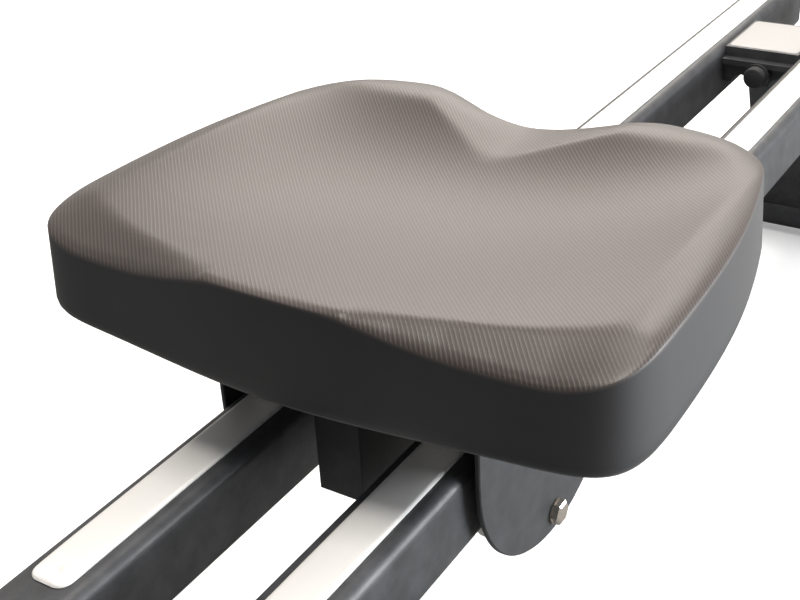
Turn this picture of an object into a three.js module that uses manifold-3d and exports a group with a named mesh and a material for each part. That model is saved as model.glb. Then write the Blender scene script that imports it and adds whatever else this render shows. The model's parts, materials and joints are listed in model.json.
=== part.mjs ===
// Twin-rail water rowing machine, as a three.js scene graph. Millimetres, +X towards the water tank (front),
// +Y left as the rower sits, +Z up, origin on the floor under the middle of the machine.
// One THREE.Mesh is one physical piece.
import * as THREE from "three";
import { mergeVertices } from "three/addons/utils/BufferGeometryUtils.js";
import Module from "manifold-3d";

const wasm = await Module();
wasm.setup();

// ---------- Driving dimensions ----------
const GAP = 0.3; // clearance left between pieces that touch

const RAIL = { width: 40, height: 50, wall: 2, corner: 8, centreY: 53, rearX: -925, frontX: 905 };
const STRIP = { width: 23, thick: 2, corner: 7, rearX: -900, frontX: 119, top: 300 };
const RAIL_TOP = STRIP.top - STRIP.thick - GAP;
const RAIL_BOTTOM = RAIL_TOP - RAIL.height;
const RAIL_INNER = RAIL.centreY - RAIL.width / 2;
const RAIL_OUTER = RAIL.centreY + RAIL.width / 2;

const FLOOR_BAR = { depth: 40, height: 28, halfLength: 230, corner: 9, z: 8, wall: 2.5 };
const REAR_BAR_X = -958;
const FRONT_BAR_X = 886;
const PAD = { length: 60, width: 40, height: 7.7 };

const SEAT = { frontX: 12, midX: -125, rearX: -276, bottom: 346, wallTop: 398, edge: 6, halfWidth: 173 };
const CARRIAGE = { plateZ: 337, plateThick: 3, frontX: -36, rearX: -214, halfWidth: 77.8 };
const SIDE_PLATE = { radius: 84, centreZ: 290.5, thick: 3, innerY: 78.2 };
const GUIDE = { halfWidth: 14, wall: 3, bottom: 260.5, length: 60 };
const ROLLER = { radius: 16, width: 22, axle: 4, spacing: 124 };
const HOLD_DOWN = { radius: 27.5, width: 20, z: 219, bolt: 4 };

const REAR_BLOCK = { frontX: -700, length: 80, plate: 3, bottom: 264 };

const TANK = { x: 640, radius: 222, wall: 4, floor: 304, rim: 466, flange: 240, flangeThick: 5 };
const SHAFT = { radius: 8, bottom: 322, top: 532 };
const IMPELLER = { radius: 150, hub: 22, bladeHeight: 62, bladeThick: 5, blades: 6, z: 324 };
const WATER_TOP = 400;

const BRIDGE = { rearX: 380, frontX: 886, halfWidth: 30, bottom: 492, top: 522, wall: 2.5 };
const DRUM = { z: 563, radius: 24, flange: 28, halfWidth: 14, axle: 5, gearInner: 29, gearOuter: 37 };
const DRUM_EAR_Y = 43;
const BELT = { width: 24, thick: 2, z: DRUM.z + DRUM.radius + 0.5, frontX: 878 };
const COVER = { rearX: 418, frontX: 905, halfWidth: 62, bottom: 502, top: 618, wall: 3, corner: 18 };

const HANDLE = { x: 382, z: BELT.z + BELT.thick / 2, barRadius: 9, halfLength: 250 };
const GRIP = { radius: 15, start: 62 };
const HOOK = { thick: 5, y: 46, width: 12 };

const FOOT = { angle: 47, heelX: 222, heelZ: 316, length: 260, width: 118, thick: 6, innerY: 34 };
const HEEL = { width: 108, height: 62, depth: 62, wall: 4, pegAlong: 88, travel: 60 };
const STRAP = { width: 30, thick: 3, rise: 92, along: 190 };

const MONITOR = { x: 500, z: 730, width: 170, height: 112, depth: 26, tilt: 62, corner: 16 };
const BUTTON = { radius: 8, spacing: 30, down: 38 };
const WHEEL = { radius: 34, width: 24, x: 944, y: 170, z: 38, axle: 5 };

// ---------- Materials ----------
function paint(color, roughness, metalness) {
  return new THREE.MeshStandardMaterial({ color, roughness, metalness });
}
const MATERIALS = {
  frame: paint(0x2a2c31, 0.55, 0.2),
  steel: paint(0xcfc9c2, 0.3, 0.95),
  zinc: paint(0xd8cfc0, 0.3, 0.95),
  seat: paint(0x4a4644, 0.6, 0),
  plastic: paint(0x1c1d20, 0.5, 0),
  rubber: paint(0x141416, 0.85, 0),
  nylon: paint(0xe6e4df, 0.45, 0),
  tank: paint(0xc8dce6, 0.08, 0),
  water: paint(0x5aa0c8, 0.05, 0),
  webbing: paint(0x17181a, 0.9, 0),
  screen: paint(0x20262b, 0.2, 0),
};

// ---------- Shape helpers ----------
const group = new THREE.Group();

function add(name, geometry, material) {
  const mesh = new THREE.Mesh(geometry, MATERIALS[material]);
  mesh.name = name;
  group.add(mesh);
  return mesh;
}

// A closed geometry as a manifold-3d solid, for cutting and joining.
function solid(geometry) {
  const bare = geometry.clone();
  for (const attribute of Object.keys(bare.attributes)) {
    if (attribute !== "position") bare.deleteAttribute(attribute);
  }
  const merged = mergeVertices(bare, 1e-3);
  const triVerts = new Uint32Array(merged.index.array);
  const vertProperties = merged.attributes.position.array;
  return new wasm.Manifold(new wasm.Mesh({ numProp: 3, vertProperties, triVerts }));
}

function geometryOf(manifold) {
  const mesh = manifold.getMesh();
  const geometry = new THREE.BufferGeometry();
  geometry.setAttribute("position", new THREE.BufferAttribute(new Float32Array(mesh.vertProperties), 3));
  geometry.setIndex(new THREE.BufferAttribute(new Uint32Array(mesh.triVerts), 1));
  geometry.computeVertexNormals();
  return geometry;
}

function join(first, ...others) {
  return geometryOf(others.reduce((made, other) => made.add(solid(other)), solid(first)));
}

function cut(body, ...tools) {
  return geometryOf(tools.reduce((made, tool) => made.subtract(solid(tool)), solid(body)));
}

// A box by its two corners.
function block(x0, x1, y0, y1, z0, z1) {
  const made = new THREE.BoxGeometry(x1 - x0, y1 - y0, z1 - z0);
  return made.translate((x0 + x1) / 2, (y0 + y1) / 2, (z0 + z1) / 2);
}

// A cylinder between two values on one axis: "x", "y" or "z".
function rod(axis, radius, from, to, a, b, sides = 24) {
  const made = new THREE.CylinderGeometry(radius, radius, to - from, sides);
  const middle = (from + to) / 2;
  if (axis === "x") return made.rotateZ(Math.PI / 2).translate(middle, a, b);
  if (axis === "y") return made.translate(a, middle, b);
  return made.rotateX(Math.PI / 2).translate(a, b, middle);
}

function roundedRectangle(width, height, radius, target = new THREE.Shape()) {
  const w = width / 2;
  const h = height / 2;
  target.moveTo(w, -h + radius);
  target.lineTo(w, h - radius);
  target.absarc(w - radius, h - radius, radius, 0, Math.PI / 2, false);
  target.lineTo(-w + radius, h);
  target.absarc(-w + radius, h - radius, radius, Math.PI / 2, Math.PI, false);
  target.lineTo(-w, -h + radius);
  target.absarc(-w + radius, -h + radius, radius, Math.PI, Math.PI * 1.5, false);
  target.lineTo(w - radius, -h);
  target.absarc(w - radius, -h + radius, radius, Math.PI * 1.5, Math.PI * 2, false);
  return target;
}

function extrude(shape, depth, curveSegments = 3) {
  return new THREE.ExtrudeGeometry(shape, { depth, bevelEnabled: false, curveSegments, steps: 1 });
}

// Shapes drawn in the Y-Z plane, extruded along X.
const ALONG_X = new THREE.Matrix4().makeBasis(
  new THREE.Vector3(0, 1, 0), new THREE.Vector3(0, 0, 1), new THREE.Vector3(1, 0, 0));
function extrudeX(shape, x0, x1, curveSegments) {
  return extrude(shape, x1 - x0, curveSegments).applyMatrix4(ALONG_X).translate(x0, 0, 0);
}

// Shapes drawn in the X-Z plane, extruded along Y.
const ALONG_Y = new THREE.Matrix4().makeBasis(
  new THREE.Vector3(1, 0, 0), new THREE.Vector3(0, 0, 1), new THREE.Vector3(0, -1, 0));
function extrudeY(shape, y0, y1, curveSegments) {
  return extrude(shape, y1 - y0, curveSegments).applyMatrix4(ALONG_Y).translate(0, y1, 0);
}

function extrudeZ(shape, z0, z1, curveSegments) {
  return extrude(shape, z1 - z0, curveSegments).translate(0, 0, z0);
}

function tubeSection(width, height, corner, wall) {
  const section = roundedRectangle(width, height, corner);
  const innerCorner = Math.max(corner - wall, 1);
  section.holes.push(roundedRectangle(width - 2 * wall, height - 2 * wall, innerCorner, new THREE.Path()));
  return section;
}

function polygon(points) {
  return new THREE.Shape(points.map(([a, b]) => new THREE.Vector2(a, b)));
}

function lathe(points, segments = 32) {
  const profile = points.map(([r, z]) => new THREE.Vector2(r, z));
  return new THREE.LatheGeometry(profile, segments).rotateX(Math.PI / 2);
}

const SIDES = [["left", 1], ["right", -1]];

// ---------- Rails, running strips and end caps ----------
const railMiddleZ = (RAIL_TOP + RAIL_BOTTOM) / 2;
for (const [side, sign] of SIDES) {
  const y = sign * RAIL.centreY;
  const section = tubeSection(RAIL.width, RAIL.height, RAIL.corner, RAIL.wall);
  add(`rail_${side}`, extrudeX(section, RAIL.rearX, RAIL.frontX).translate(0, y, railMiddleZ), "frame");

  const stripLength = STRIP.frontX - STRIP.rearX;
  const stripPlan = roundedRectangle(stripLength, STRIP.width, STRIP.corner);
  const strip = extrudeZ(stripPlan, STRIP.top - STRIP.thick, STRIP.top);
  add(`running_strip_${side}`, strip.translate((STRIP.frontX + STRIP.rearX) / 2, y, 0), "steel");

  const capHead = roundedRectangle(RAIL.width, RAIL.height, RAIL.corner);
  const plugWidth = RAIL.width - 2 * RAIL.wall - 2 * GAP;
  const plugHeight = RAIL.height - 2 * RAIL.wall - 2 * GAP;
  const plugCorner = RAIL.corner - RAIL.wall;
  const cap = join(
    extrudeX(capHead, RAIL.rearX - 4 - GAP, RAIL.rearX - GAP),
    extrudeX(roundedRectangle(plugWidth, plugHeight, plugCorner), RAIL.rearX - 1, RAIL.rearX + 18));
  add(`rear_end_cap_${side}`, cap.translate(0, y, railMiddleZ), "plastic");
}

// ---------- Floor bars, legs and foot pads ----------
function floorBar(x) {
  const section = tubeSection(FLOOR_BAR.depth, FLOOR_BAR.height, FLOOR_BAR.corner, FLOOR_BAR.wall);
  const middleZ = FLOOR_BAR.z + FLOOR_BAR.height / 2;
  return extrudeY(section, -FLOOR_BAR.halfLength, FLOOR_BAR.halfLength).translate(x, 0, middleZ);
}
const barTop = FLOOR_BAR.z + FLOOR_BAR.height;

// A folded steel leg: a raked face plate with a flange down each side.
function foldedLeg(topX, bottomX, depth, halfWidth, plate) {
  const lean = [
    [bottomX, barTop - 1], [bottomX - depth, barTop - 1],
    [topX - depth, RAIL_BOTTOM - GAP], [topX, RAIL_BOTTOM - GAP]];
  const inner = lean.map(([x, z]) => [x - plate, z]);
  const whole = extrudeY(polygon(lean), -halfWidth, halfWidth);
  const hollow = extrudeY(polygon([
    [inner[0][0], barTop - 2], [inner[1][0] - plate, barTop - 2],
    [inner[2][0] - plate, RAIL_BOTTOM + 1], [inner[3][0], RAIL_BOTTOM + 1]]),
  -halfWidth + plate, halfWidth - plate);
  return cut(whole, hollow);
}

const rearLeg = foldedLeg(-855, -942, 34, 64, 3);
add("rear_stand", join(floorBar(REAR_BAR_X), rearLeg), "frame");

// Each transport wheel turns between two arms welded to the front bar.
function wheelFork(y) {
  const inner = WHEEL.width / 2 + 1;
  const profile = polygon([
    [FRONT_BAR_X - 14, barTop - 1], [FRONT_BAR_X + 12, barTop - 1], [WHEEL.x + 9, WHEEL.z - 6],
    [WHEEL.x + 9, WHEEL.z + 10], [FRONT_BAR_X - 14, barTop + 8]]);
  return [
    extrudeY(profile, y - inner - 4, y - inner),
    extrudeY(profile, y + inner, y + inner + 4),
    rod("y", WHEEL.axle, y - inner - 4, y + inner + 4, WHEEL.x, WHEEL.z, 16),
  ];
}
const frontLeg = foldedLeg(-746, -902, -34, 64, -3).rotateZ(Math.PI);
const wheelForks = [...wheelFork(WHEEL.y), ...wheelFork(-WHEEL.y)];
add("front_stand", join(floorBar(FRONT_BAR_X), frontLeg, ...wheelForks), "frame");

for (const [end, barX] of [["rear", REAR_BAR_X], ["front", FRONT_BAR_X]]) {
  for (const [side, sign] of SIDES) {
    const pad = extrudeZ(roundedRectangle(PAD.width, PAD.length, 8), 0, PAD.height);
    add(`${end}_foot_pad_${side}`, pad.translate(barX, sign * (FLOOR_BAR.halfLength - 45), 0), "rubber");
  }
}

// ---------- Rear cross block between the rails ----------
{
  const half = RAIL_INNER - GAP;
  const { frontX, length, plate, bottom } = REAR_BLOCK;
  const topZ = RAIL_TOP - 1;
  const topPlate = block(frontX - length, frontX, -half, half, topZ - plate, topZ);
  const facePlate = block(frontX - plate, frontX, -half, half, bottom, topZ);
  const backPlate = block(frontX - length, frontX - length + plate, -half, half, RAIL_BOTTOM, topZ);
  const notch = (y) => rod("x", 8, frontX - plate - 1, frontX + 1, y, bottom, 16);
  const ledge = block(frontX - 1, frontX + 8, -half, half, topZ - 14, topZ - 9);
  const buffer = rod("x", 11, frontX - 1, frontX + 10, 0, 276, 20);
  const body = cut(join(topPlate, facePlate, backPlate), notch(-17), notch(17));
  add("rear_cross_block", join(body, ledge, buffer), "frame");
}

// ---------- Seat pad ----------
// The outline is a rounded trapezoid, wide in front and narrower behind, with a notch in the rear edge.
function seatOutline() {
  const { frontX, rearX, halfWidth } = SEAT;
  const shape = new THREE.Shape();
  shape.moveTo(frontX, 0);
  shape.bezierCurveTo(frontX, 40, frontX - 7, 80, frontX - 12, 127);
  shape.bezierCurveTo(frontX - 16, 160, frontX - 21, halfWidth, frontX - 64, halfWidth);
  shape.bezierCurveTo(frontX - 150, halfWidth, rearX + 95, 165, rearX + 47, 153);
  shape.bezierCurveTo(rearX + 14, 145, rearX + 1, 122, rearX + 2, 78);
  shape.bezierCurveTo(rearX + 5, 45, rearX + 22, 34, rearX + 22, 0);
  shape.bezierCurveTo(rearX + 22, -34, rearX + 5, -45, rearX + 2, -78);
  shape.bezierCurveTo(rearX + 1, -122, rearX + 14, -145, rearX + 47, -153);
  shape.bezierCurveTo(rearX + 95, -165, frontX - 150, -halfWidth, frontX - 64, -halfWidth);
  shape.bezierCurveTo(frontX - 21, -halfWidth, frontX - 16, -160, frontX - 12, -127);
  shape.bezierCurveTo(frontX - 7, -80, frontX, -40, frontX, 0);
  return shape;
}
const pad = new THREE.ExtrudeGeometry(seatOutline(), {
  depth: SEAT.wallTop - SEAT.bottom - SEAT.edge, bevelEnabled: true, bevelThickness: SEAT.edge,
  bevelSize: SEAT.edge, bevelOffset: -SEAT.edge,
  bevelSegments: 1, curveSegments: 5, steps: 1 });
add("seat_pad", pad.translate(0, 0, SEAT.bottom + SEAT.edge), "seat");
const plateTop = CARRIAGE.plateZ + CARRIAGE.plateThick;
const basePan = extrudeZ(roundedRectangle(210, 240, 30), plateTop + GAP, SEAT.bottom - GAP);
add("seat_base", basePan.translate(SEAT.midX, 0, 0), "plastic");

// ---------- Seat carriage ----------
const axleZ = STRIP.top + GAP + ROLLER.radius;
const axleXs = [["front", SEAT.midX + ROLLER.spacing / 2], ["rear", SEAT.midX - ROLLER.spacing / 2]];
{
  const { frontX, rearX, halfWidth, plateZ } = CARRIAGE;
  const w = GUIDE.wall;
  const topPlate = block(rearX, frontX, -halfWidth, halfWidth, plateZ, plateTop);
  const guideRear = frontX - GUIDE.length;
  const outer = block(guideRear, frontX, -GUIDE.halfWidth, GUIDE.halfWidth, GUIDE.bottom, plateZ + 1);
  const innerHalf = GUIDE.halfWidth - w;
  const inner = block(guideRear + w, frontX - w, -innerHalf, innerHalf, GUIDE.bottom - 1, plateZ - w);
  const axleHole = rod("y", ROLLER.axle + GAP, -20, 20, axleXs[0][1], axleZ, 16);
  add("carriage_frame", cut(join(topPlate, outer), inner, axleHole), "frame");
}

for (const [side, sign] of SIDES) {
  const { radius, centreZ, thick, innerY } = SIDE_PLATE;
  const shape = new THREE.Shape();
  shape.moveTo(SEAT.midX + radius, plateTop);
  shape.lineTo(SEAT.midX - radius, plateTop);
  shape.lineTo(SEAT.midX - radius, centreZ);
  shape.absarc(SEAT.midX, centreZ, radius, Math.PI, Math.PI * 2, false);
  const y0 = sign > 0 ? innerY : -innerY - thick;
  const boltHole = rod("y", HOLD_DOWN.bolt + GAP, y0 - 1, y0 + thick + 1, SEAT.midX, HOLD_DOWN.z, 16);
  add(`side_plate_${side}`, cut(extrudeY(shape, y0, y0 + thick, 14), boltHole), "frame");

  const rollerY = sign * RAIL.centreY;
  const half = HOLD_DOWN.width / 2;
  const holdDown = cut(
    rod("y", HOLD_DOWN.radius, rollerY - half, rollerY + half, SEAT.midX, HOLD_DOWN.z, 28),
    rod("y", HOLD_DOWN.bolt + GAP, rollerY - 20, rollerY + 20, SEAT.midX, HOLD_DOWN.z, 16));
  add(`hold_down_roller_${side}`, holdDown, "nylon");

  const headY = innerY + thick + GAP;
  const boltFrom = RAIL.centreY - half - 6;
  const head = new THREE.CylinderGeometry(7.5, 7.5, 5.3, 6).translate(SEAT.midX, headY + 2.65, HOLD_DOWN.z);
  const shank = rod("y", HOLD_DOWN.bolt, boltFrom, headY + 1, SEAT.midX, HOLD_DOWN.z, 16);
  const nut = new THREE.CylinderGeometry(7.5, 7.5, 5, 6).translate(SEAT.midX, boltFrom + 2.5, HOLD_DOWN.z);
  const bolt = join(head, shank, nut);
  if (sign < 0) bolt.rotateZ(Math.PI).translate(2 * SEAT.midX, 0, 0);
  add(`hold_down_bolt_${side}`, bolt, "zinc");
}

for (const [end, x] of axleXs) {
  const reach = SIDE_PLATE.innerY - GAP;
  add(`${end}_axle`, rod("y", ROLLER.axle, -reach, reach, x, axleZ, 16), "zinc");
  for (const [side, sign] of SIDES) {
    const y = sign * RAIL.centreY;
    const tyre = rod("y", ROLLER.radius, y - ROLLER.width / 2, y + ROLLER.width / 2, x, axleZ, 28);
    const bore = rod("y", ROLLER.axle + GAP, y - 20, y + 20, x, axleZ, 16);
    add(`${end}_roller_${side}`, cut(tyre, bore), "nylon");
  }
}

// ---------- Water tank ----------
{
  const { x, radius, wall, floor, rim, flange, flangeThick } = TANK;
  const inner = radius - wall;
  const bowl = lathe([
    [0, floor], [radius - 30, floor], [radius - 8, floor + 10], [radius, floor + 30],
    [radius, rim - flangeThick],
    [flange, rim - flangeThick], [flange, rim], [inner, rim], [inner, floor + 32], [inner - 8, floor + 14],
    [inner - 28, floor + wall], [0, floor + wall]], 36);
  add("tank_bowl", bowl.translate(x, 0, 0), "tank");

  const boss = 26;
  const lid = lathe([
    [SHAFT.radius + 3, rim + GAP], [flange, rim + GAP], [flange, rim + flangeThick], [radius - 20, rim + 12],
    [60, rim + 17], [boss, rim + 22], [SHAFT.radius + 3, rim + 22], [SHAFT.radius + 3, rim + GAP]], 36);
  const fillHole = rod("z", 15, rim - 5, rim + 40, 0, 130, 20);
  add("tank_lid", cut(lid, fillHole).translate(x, 0, 0), "tank");
  const plugStem = rod("z", 14.6, rim + 2, rim + 18, 0, 130, 20);
  const plug = join(plugStem, rod("z", 22, rim + 17.5, rim + 26, 0, 130, 20));
  add("fill_plug", plug.translate(x, 0, 0), "rubber");

  const swept = IMPELLER.radius + 6;
  const water = lathe([
    [0, floor + wall + GAP], [inner - 30, floor + wall + GAP], [inner - 9, floor + 16],
    [inner - GAP - 0.5, floor + 33],
    [inner - GAP - 0.5, WATER_TOP], [swept, WATER_TOP], [swept, IMPELLER.z - 6], [0, IMPELLER.z - 6]], 36);
  add("water", water.translate(x, 0, 0), "water");

  const hub = rod("z", IMPELLER.hub, IMPELLER.z, IMPELLER.z + IMPELLER.bladeHeight, 0, 0, 24);
  const blades = [];
  for (let i = 0; i < IMPELLER.blades; i += 1) {
    const blade = block(IMPELLER.hub - 4, IMPELLER.radius, -IMPELLER.bladeThick / 2, IMPELLER.bladeThick / 2,
      IMPELLER.z + 4, IMPELLER.z + IMPELLER.bladeHeight - 4);
    blades.push(blade.rotateZ((i * 2 * Math.PI) / IMPELLER.blades));
  }
  const bore = rod("z", SHAFT.radius + GAP, IMPELLER.z - 5, IMPELLER.z + 90, 0, 0, 20);
  add("impeller", cut(join(hub, ...blades), bore).translate(x, 0, 0), "plastic");
  const pinion = lathe([
    [0, DRUM.z - DRUM.gearOuter], [DRUM.gearOuter - 0.6, DRUM.z - DRUM.gearOuter],
    [DRUM.gearInner - 0.6, DRUM.z - DRUM.gearInner], [0, DRUM.z - DRUM.gearInner]], 20);
  const shaft = join(rod("z", SHAFT.radius, SHAFT.bottom, SHAFT.top, 0, 0, 20), pinion);
  add("drive_shaft", shaft.translate(x, 0, 0), "steel");

  const cradle = join(
    extrudeZ(roundedRectangle(300, 280, 40), RAIL_TOP + GAP, floor - GAP).translate(x, 0, 0),
    block(x - 150, x + 150, -RAIL_INNER + GAP, RAIL_INNER - GAP, RAIL_TOP - 8, RAIL_TOP + 1));
  add("tank_cradle", cradle, "frame");
}

// ---------- Bridge over the tank, belt drum and pull belt ----------
{
  const { rearX, frontX, halfWidth, bottom, top, wall } = BRIDGE;
  const beamSection = tubeSection(2 * halfWidth, top - bottom, 5, wall);
  const beam = extrudeX(beamSection, rearX, frontX).translate(0, 0, (top + bottom) / 2);
  const bearing = rod("z", 20, bottom + 0.5, top - 0.5, TANK.x, 0, 20);
  const shaftHole = rod("z", SHAFT.radius + GAP, bottom - 5, top + 5, TANK.x, 0, 20);
  add("bridge_beam", cut(join(beam, bearing), shaftHole), "frame");

  const post = block(frontX + GAP, frontX + 12, -RAIL_OUTER, RAIL_OUTER, RAIL_TOP + GAP, top);
  add("front_post", post, "frame");

  const ears = SIDES.map(([, sign]) => {
    const y0 = sign > 0 ? DRUM_EAR_Y : -DRUM_EAR_Y - 4;
    return extrudeY(polygon([
      [TANK.x - 26, top + 1], [TANK.x + 26, top + 1],
      [TANK.x + 12, DRUM.z + 12], [TANK.x - 12, DRUM.z + 12]]), y0, y0 + 4);
  });
  const earBase = block(TANK.x - 30, TANK.x + 30, -DRUM_EAR_Y - 4, DRUM_EAR_Y + 4, top + GAP, top + 3);
  const axleHole = rod("y", DRUM.axle + GAP, -60, 60, TANK.x, DRUM.z, 20);
  const baseHole = rod("z", SHAFT.radius + 2, top - 5, top + 10, TANK.x, 0, 20);
  add("drum_bracket", cut(join(earBase, ...ears), axleHole, baseHole), "frame");

  // Belt drum, its stub axles and the bevel gear that meets the pinion on the drive shaft.
  const d = DRUM;
  const rest = DRUM_EAR_Y + 6;
  const drumProfile = [
    [0, -rest], [d.axle, -rest], [d.axle, -d.halfWidth - 3], [d.flange, -d.halfWidth - 3],
    [d.flange, -d.halfWidth],
    [d.radius, -d.halfWidth], [d.radius, d.halfWidth], [d.flange, d.halfWidth], [d.flange, d.halfWidth + 3],
    [14, d.halfWidth + 3], [14, d.gearInner], [d.gearInner - 0.6, d.gearInner],
    [d.gearOuter - 0.6, d.gearOuter],
    [d.axle, d.gearOuter + 3], [d.axle, rest], [0, rest]];
  const drum = new THREE.LatheGeometry(drumProfile.map(([r, y]) => new THREE.Vector2(r, y)), 20);
  add("belt_drum", drum.translate(TANK.x, 0, d.z), "plastic");

  const beltHalf = BELT.width / 2;
  const webbing = block(HANDLE.x + 17, BELT.frontX, -beltHalf, beltHalf, BELT.z, BELT.z + BELT.thick);
  add("pull_belt", webbing, "webbing");
}

// ---------- Deck cover ----------
{
  const { rearX, frontX, halfWidth, bottom, top, wall, corner } = COVER;
  const width = 2 * halfWidth;
  const outerSection = new THREE.Shape();
  outerSection.moveTo(-halfWidth, bottom);
  outerSection.lineTo(halfWidth, bottom);
  outerSection.lineTo(halfWidth, top - corner);
  outerSection.absarc(halfWidth - corner, top - corner, corner, 0, Math.PI / 2, false);
  outerSection.lineTo(-halfWidth + corner, top);
  outerSection.absarc(-halfWidth + corner, top - corner, corner, Math.PI / 2, Math.PI, false);
  const outer = extrudeX(outerSection, rearX, frontX, 5);
  const span = [rearX + wall, frontX - wall];
  const inner = block(...span, -halfWidth + wall, halfWidth - wall, bottom - 1, top - corner);
  const upper = block(...span, -halfWidth + corner, halfWidth - corner, top - corner - 1, top - wall);
  const beltHalf = BELT.width / 2 + 5;
  const rearWall = [rearX - 1, rearX + wall + 1];
  const beltSlot = block(...rearWall, -beltHalf, beltHalf, BELT.z - 4, BELT.z + BELT.thick + 4);
  const beamHalf = BRIDGE.halfWidth + GAP;
  const beamSlot = block(...rearWall, -beamHalf, beamHalf, bottom - 1, BRIDGE.top + GAP);
  const postSlot = block(frontX - 20, frontX + 1, -width, width, bottom - 1, BRIDGE.top + 1);
  const shell = cut(outer, inner, upper, beltSlot, beamSlot, postSlot);

  // Two moulded rests carry the handle in front of the cover.
  const rests = SIDES.map(([, sign]) => {
    const y = sign * HOOK.y;
    const restTop = HANDLE.z + HANDLE.barRadius + 5;
    const shelfZ = HANDLE.z - HANDLE.barRadius - GAP;
    const stopX = HANDLE.x + HANDLE.barRadius + 1;
    const shape = polygon([
      [rearX + 1, shelfZ - HOOK.thick - 18], [rearX + 1, restTop], [stopX, restTop], [stopX, shelfZ],
      [HANDLE.x - 12, shelfZ], [HANDLE.x - 12, shelfZ - HOOK.thick]]);
    return extrudeY(shape, y - HOOK.width / 2, y + HOOK.width / 2);
  });
  add("deck_cover", join(shell, ...rests), "plastic");
}

// ---------- Handle ----------
{
  const { x, z, barRadius, halfLength } = HANDLE;
  add("handle_bar", rod("y", barRadius, -halfLength, halfLength, x, z, 20), "steel");
  for (const [side, sign] of SIDES) {
    const from = sign > 0 ? GRIP.start : -halfLength - 4;
    const to = sign > 0 ? halfLength + 4 : -GRIP.start;
    const socketFrom = sign > 0 ? from - 1 : -halfLength - GAP;
    const socketTo = sign > 0 ? halfLength + GAP : to + 1;
    const socket = rod("y", barRadius + GAP, socketFrom, socketTo, x, z, 20);
    add(`handle_grip_${side}`, cut(rod("y", GRIP.radius, from, to, x, z, 24), socket), "rubber");
  }
  const clampHalf = BELT.width / 2 + 4;
  const clampBody = join(
    rod("y", 15, -26, 26, x, z, 24),
    block(x + 6, x + 28, -clampHalf, clampHalf, z - 5, z + 5));
  const bore = rod("y", barRadius + GAP, -30, 30, x, z, 20);
  const pocketHalf = BELT.width / 2 + GAP;
  const pocket = block(x + 16, x + 30, -pocketHalf, pocketHalf, BELT.z - GAP, BELT.z + BELT.thick + GAP);
  add("handle_clamp", cut(clampBody, bore, pocket), "plastic");
}

// ---------- Foot stretcher ----------
// Drawn flat with +X up the board from the heel end and +Z off its face, then stood up at the foot angle.
const stretcher = new THREE.Matrix4()
  .makeTranslation(FOOT.heelX, 0, FOOT.heelZ)
  .multiply(new THREE.Matrix4().makeRotationY(-THREE.MathUtils.degToRad(FOOT.angle)));
const onBoard = (geometry) => geometry.applyMatrix4(stretcher);

for (const [side, sign] of SIDES) {
  const y = sign * (FOOT.innerY + FOOT.width / 2);
  const { pegAlong, travel, depth, width, height, wall } = HEEL;
  const pegRadius = 4;
  const slotLength = travel + 2 * (pegRadius + GAP + 0.5);
  const flat = extrudeZ(roundedRectangle(FOOT.length, FOOT.width, 22), 0, FOOT.thick);
  const plate = flat.translate(FOOT.length / 2, y, 0);
  const slot = extrudeZ(roundedRectangle(slotLength, 2 * pegRadius + 1, pegRadius), -1, FOOT.thick + 1);
  add(`foot_plate_${side}`, onBoard(cut(plate, slot.translate(pegAlong + travel / 2, y, 0))), "plastic");

  const soleTop = FOOT.thick + 4;
  const solePlan = roundedRectangle(depth + 40, width - 14, 12);
  const sole = extrudeZ(solePlan, FOOT.thick + GAP, soleTop).translate(62, y, 0);
  const outer = extrudeZ(roundedRectangle(depth, width, 26), FOOT.thick + GAP, FOOT.thick + height);
  const innerPlan = roundedRectangle(depth + 40, width - 2 * wall, 24);
  const inner = extrudeZ(innerPlan, soleTop, FOOT.thick + height + 10);
  const cup = cut(outer.translate(depth / 2 + 4, y, 0), inner.translate(depth / 2 + 28, y, 0));
  const peg = rod("z", pegRadius, -9, soleTop - 1, pegAlong, y, 16);
  const knob = rod("z", 12, -10, -2, pegAlong, y, 20);
  add(`heel_cup_${side}`, onBoard(join(sole, cup, peg, knob)), "rubber");

  const reach = FOOT.width / 2 + 4;
  const t = STRAP.thick;
  const arch = new THREE.Shape();
  arch.moveTo(reach - 26, -GAP);
  arch.lineTo(reach - 26, -GAP - t);
  arch.lineTo(reach, -GAP - t);
  arch.lineTo(reach, 30);
  arch.bezierCurveTo(reach, STRAP.rise, -reach, STRAP.rise, -reach, 30);
  arch.lineTo(-reach, -GAP - t);
  arch.lineTo(-reach + 26, -GAP - t);
  arch.lineTo(-reach + 26, -GAP);
  arch.lineTo(-reach + t, -GAP);
  arch.lineTo(-reach + t, 30);
  arch.bezierCurveTo(-reach + t, STRAP.rise - 4, reach - t, STRAP.rise - 4, reach - t, 30);
  arch.lineTo(reach - t, -GAP);
  const from = STRAP.along - STRAP.width / 2;
  const strap = extrudeX(arch, from, from + STRAP.width, 10);
  add(`foot_strap_${side}`, onBoard(strap.translate(0, y, 0)), "webbing");
}

// Welded bracket: an inclined spine with two cross bars under the foot plates, a base on the rails and a
// gusset that also holds up the rear end of the bridge beam.
{
  const spine = block(10, 232, -24, 24, -7, -1 - GAP);
  const half = FOOT.innerY + FOOT.width - 14;
  const bars = [22, 210].map((x) => block(x, x + 20, -half, half, -7, -1 - GAP));
  const inclined = onBoard(join(spine, ...bars));
  const base = block(228, 395, -RAIL_OUTER, RAIL_OUTER, RAIL_TOP + GAP, RAIL_TOP + 6);
  const gusset = extrudeY(polygon([
    [232, RAIL_TOP + 1], [395, RAIL_TOP + 1], [395, BRIDGE.bottom - GAP], [383, BRIDGE.bottom - GAP],
    [383, 482], [232, 319]]), -6, 6);
  add("stretcher_bracket", join(inclined, base, gusset), "frame");
}

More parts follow.
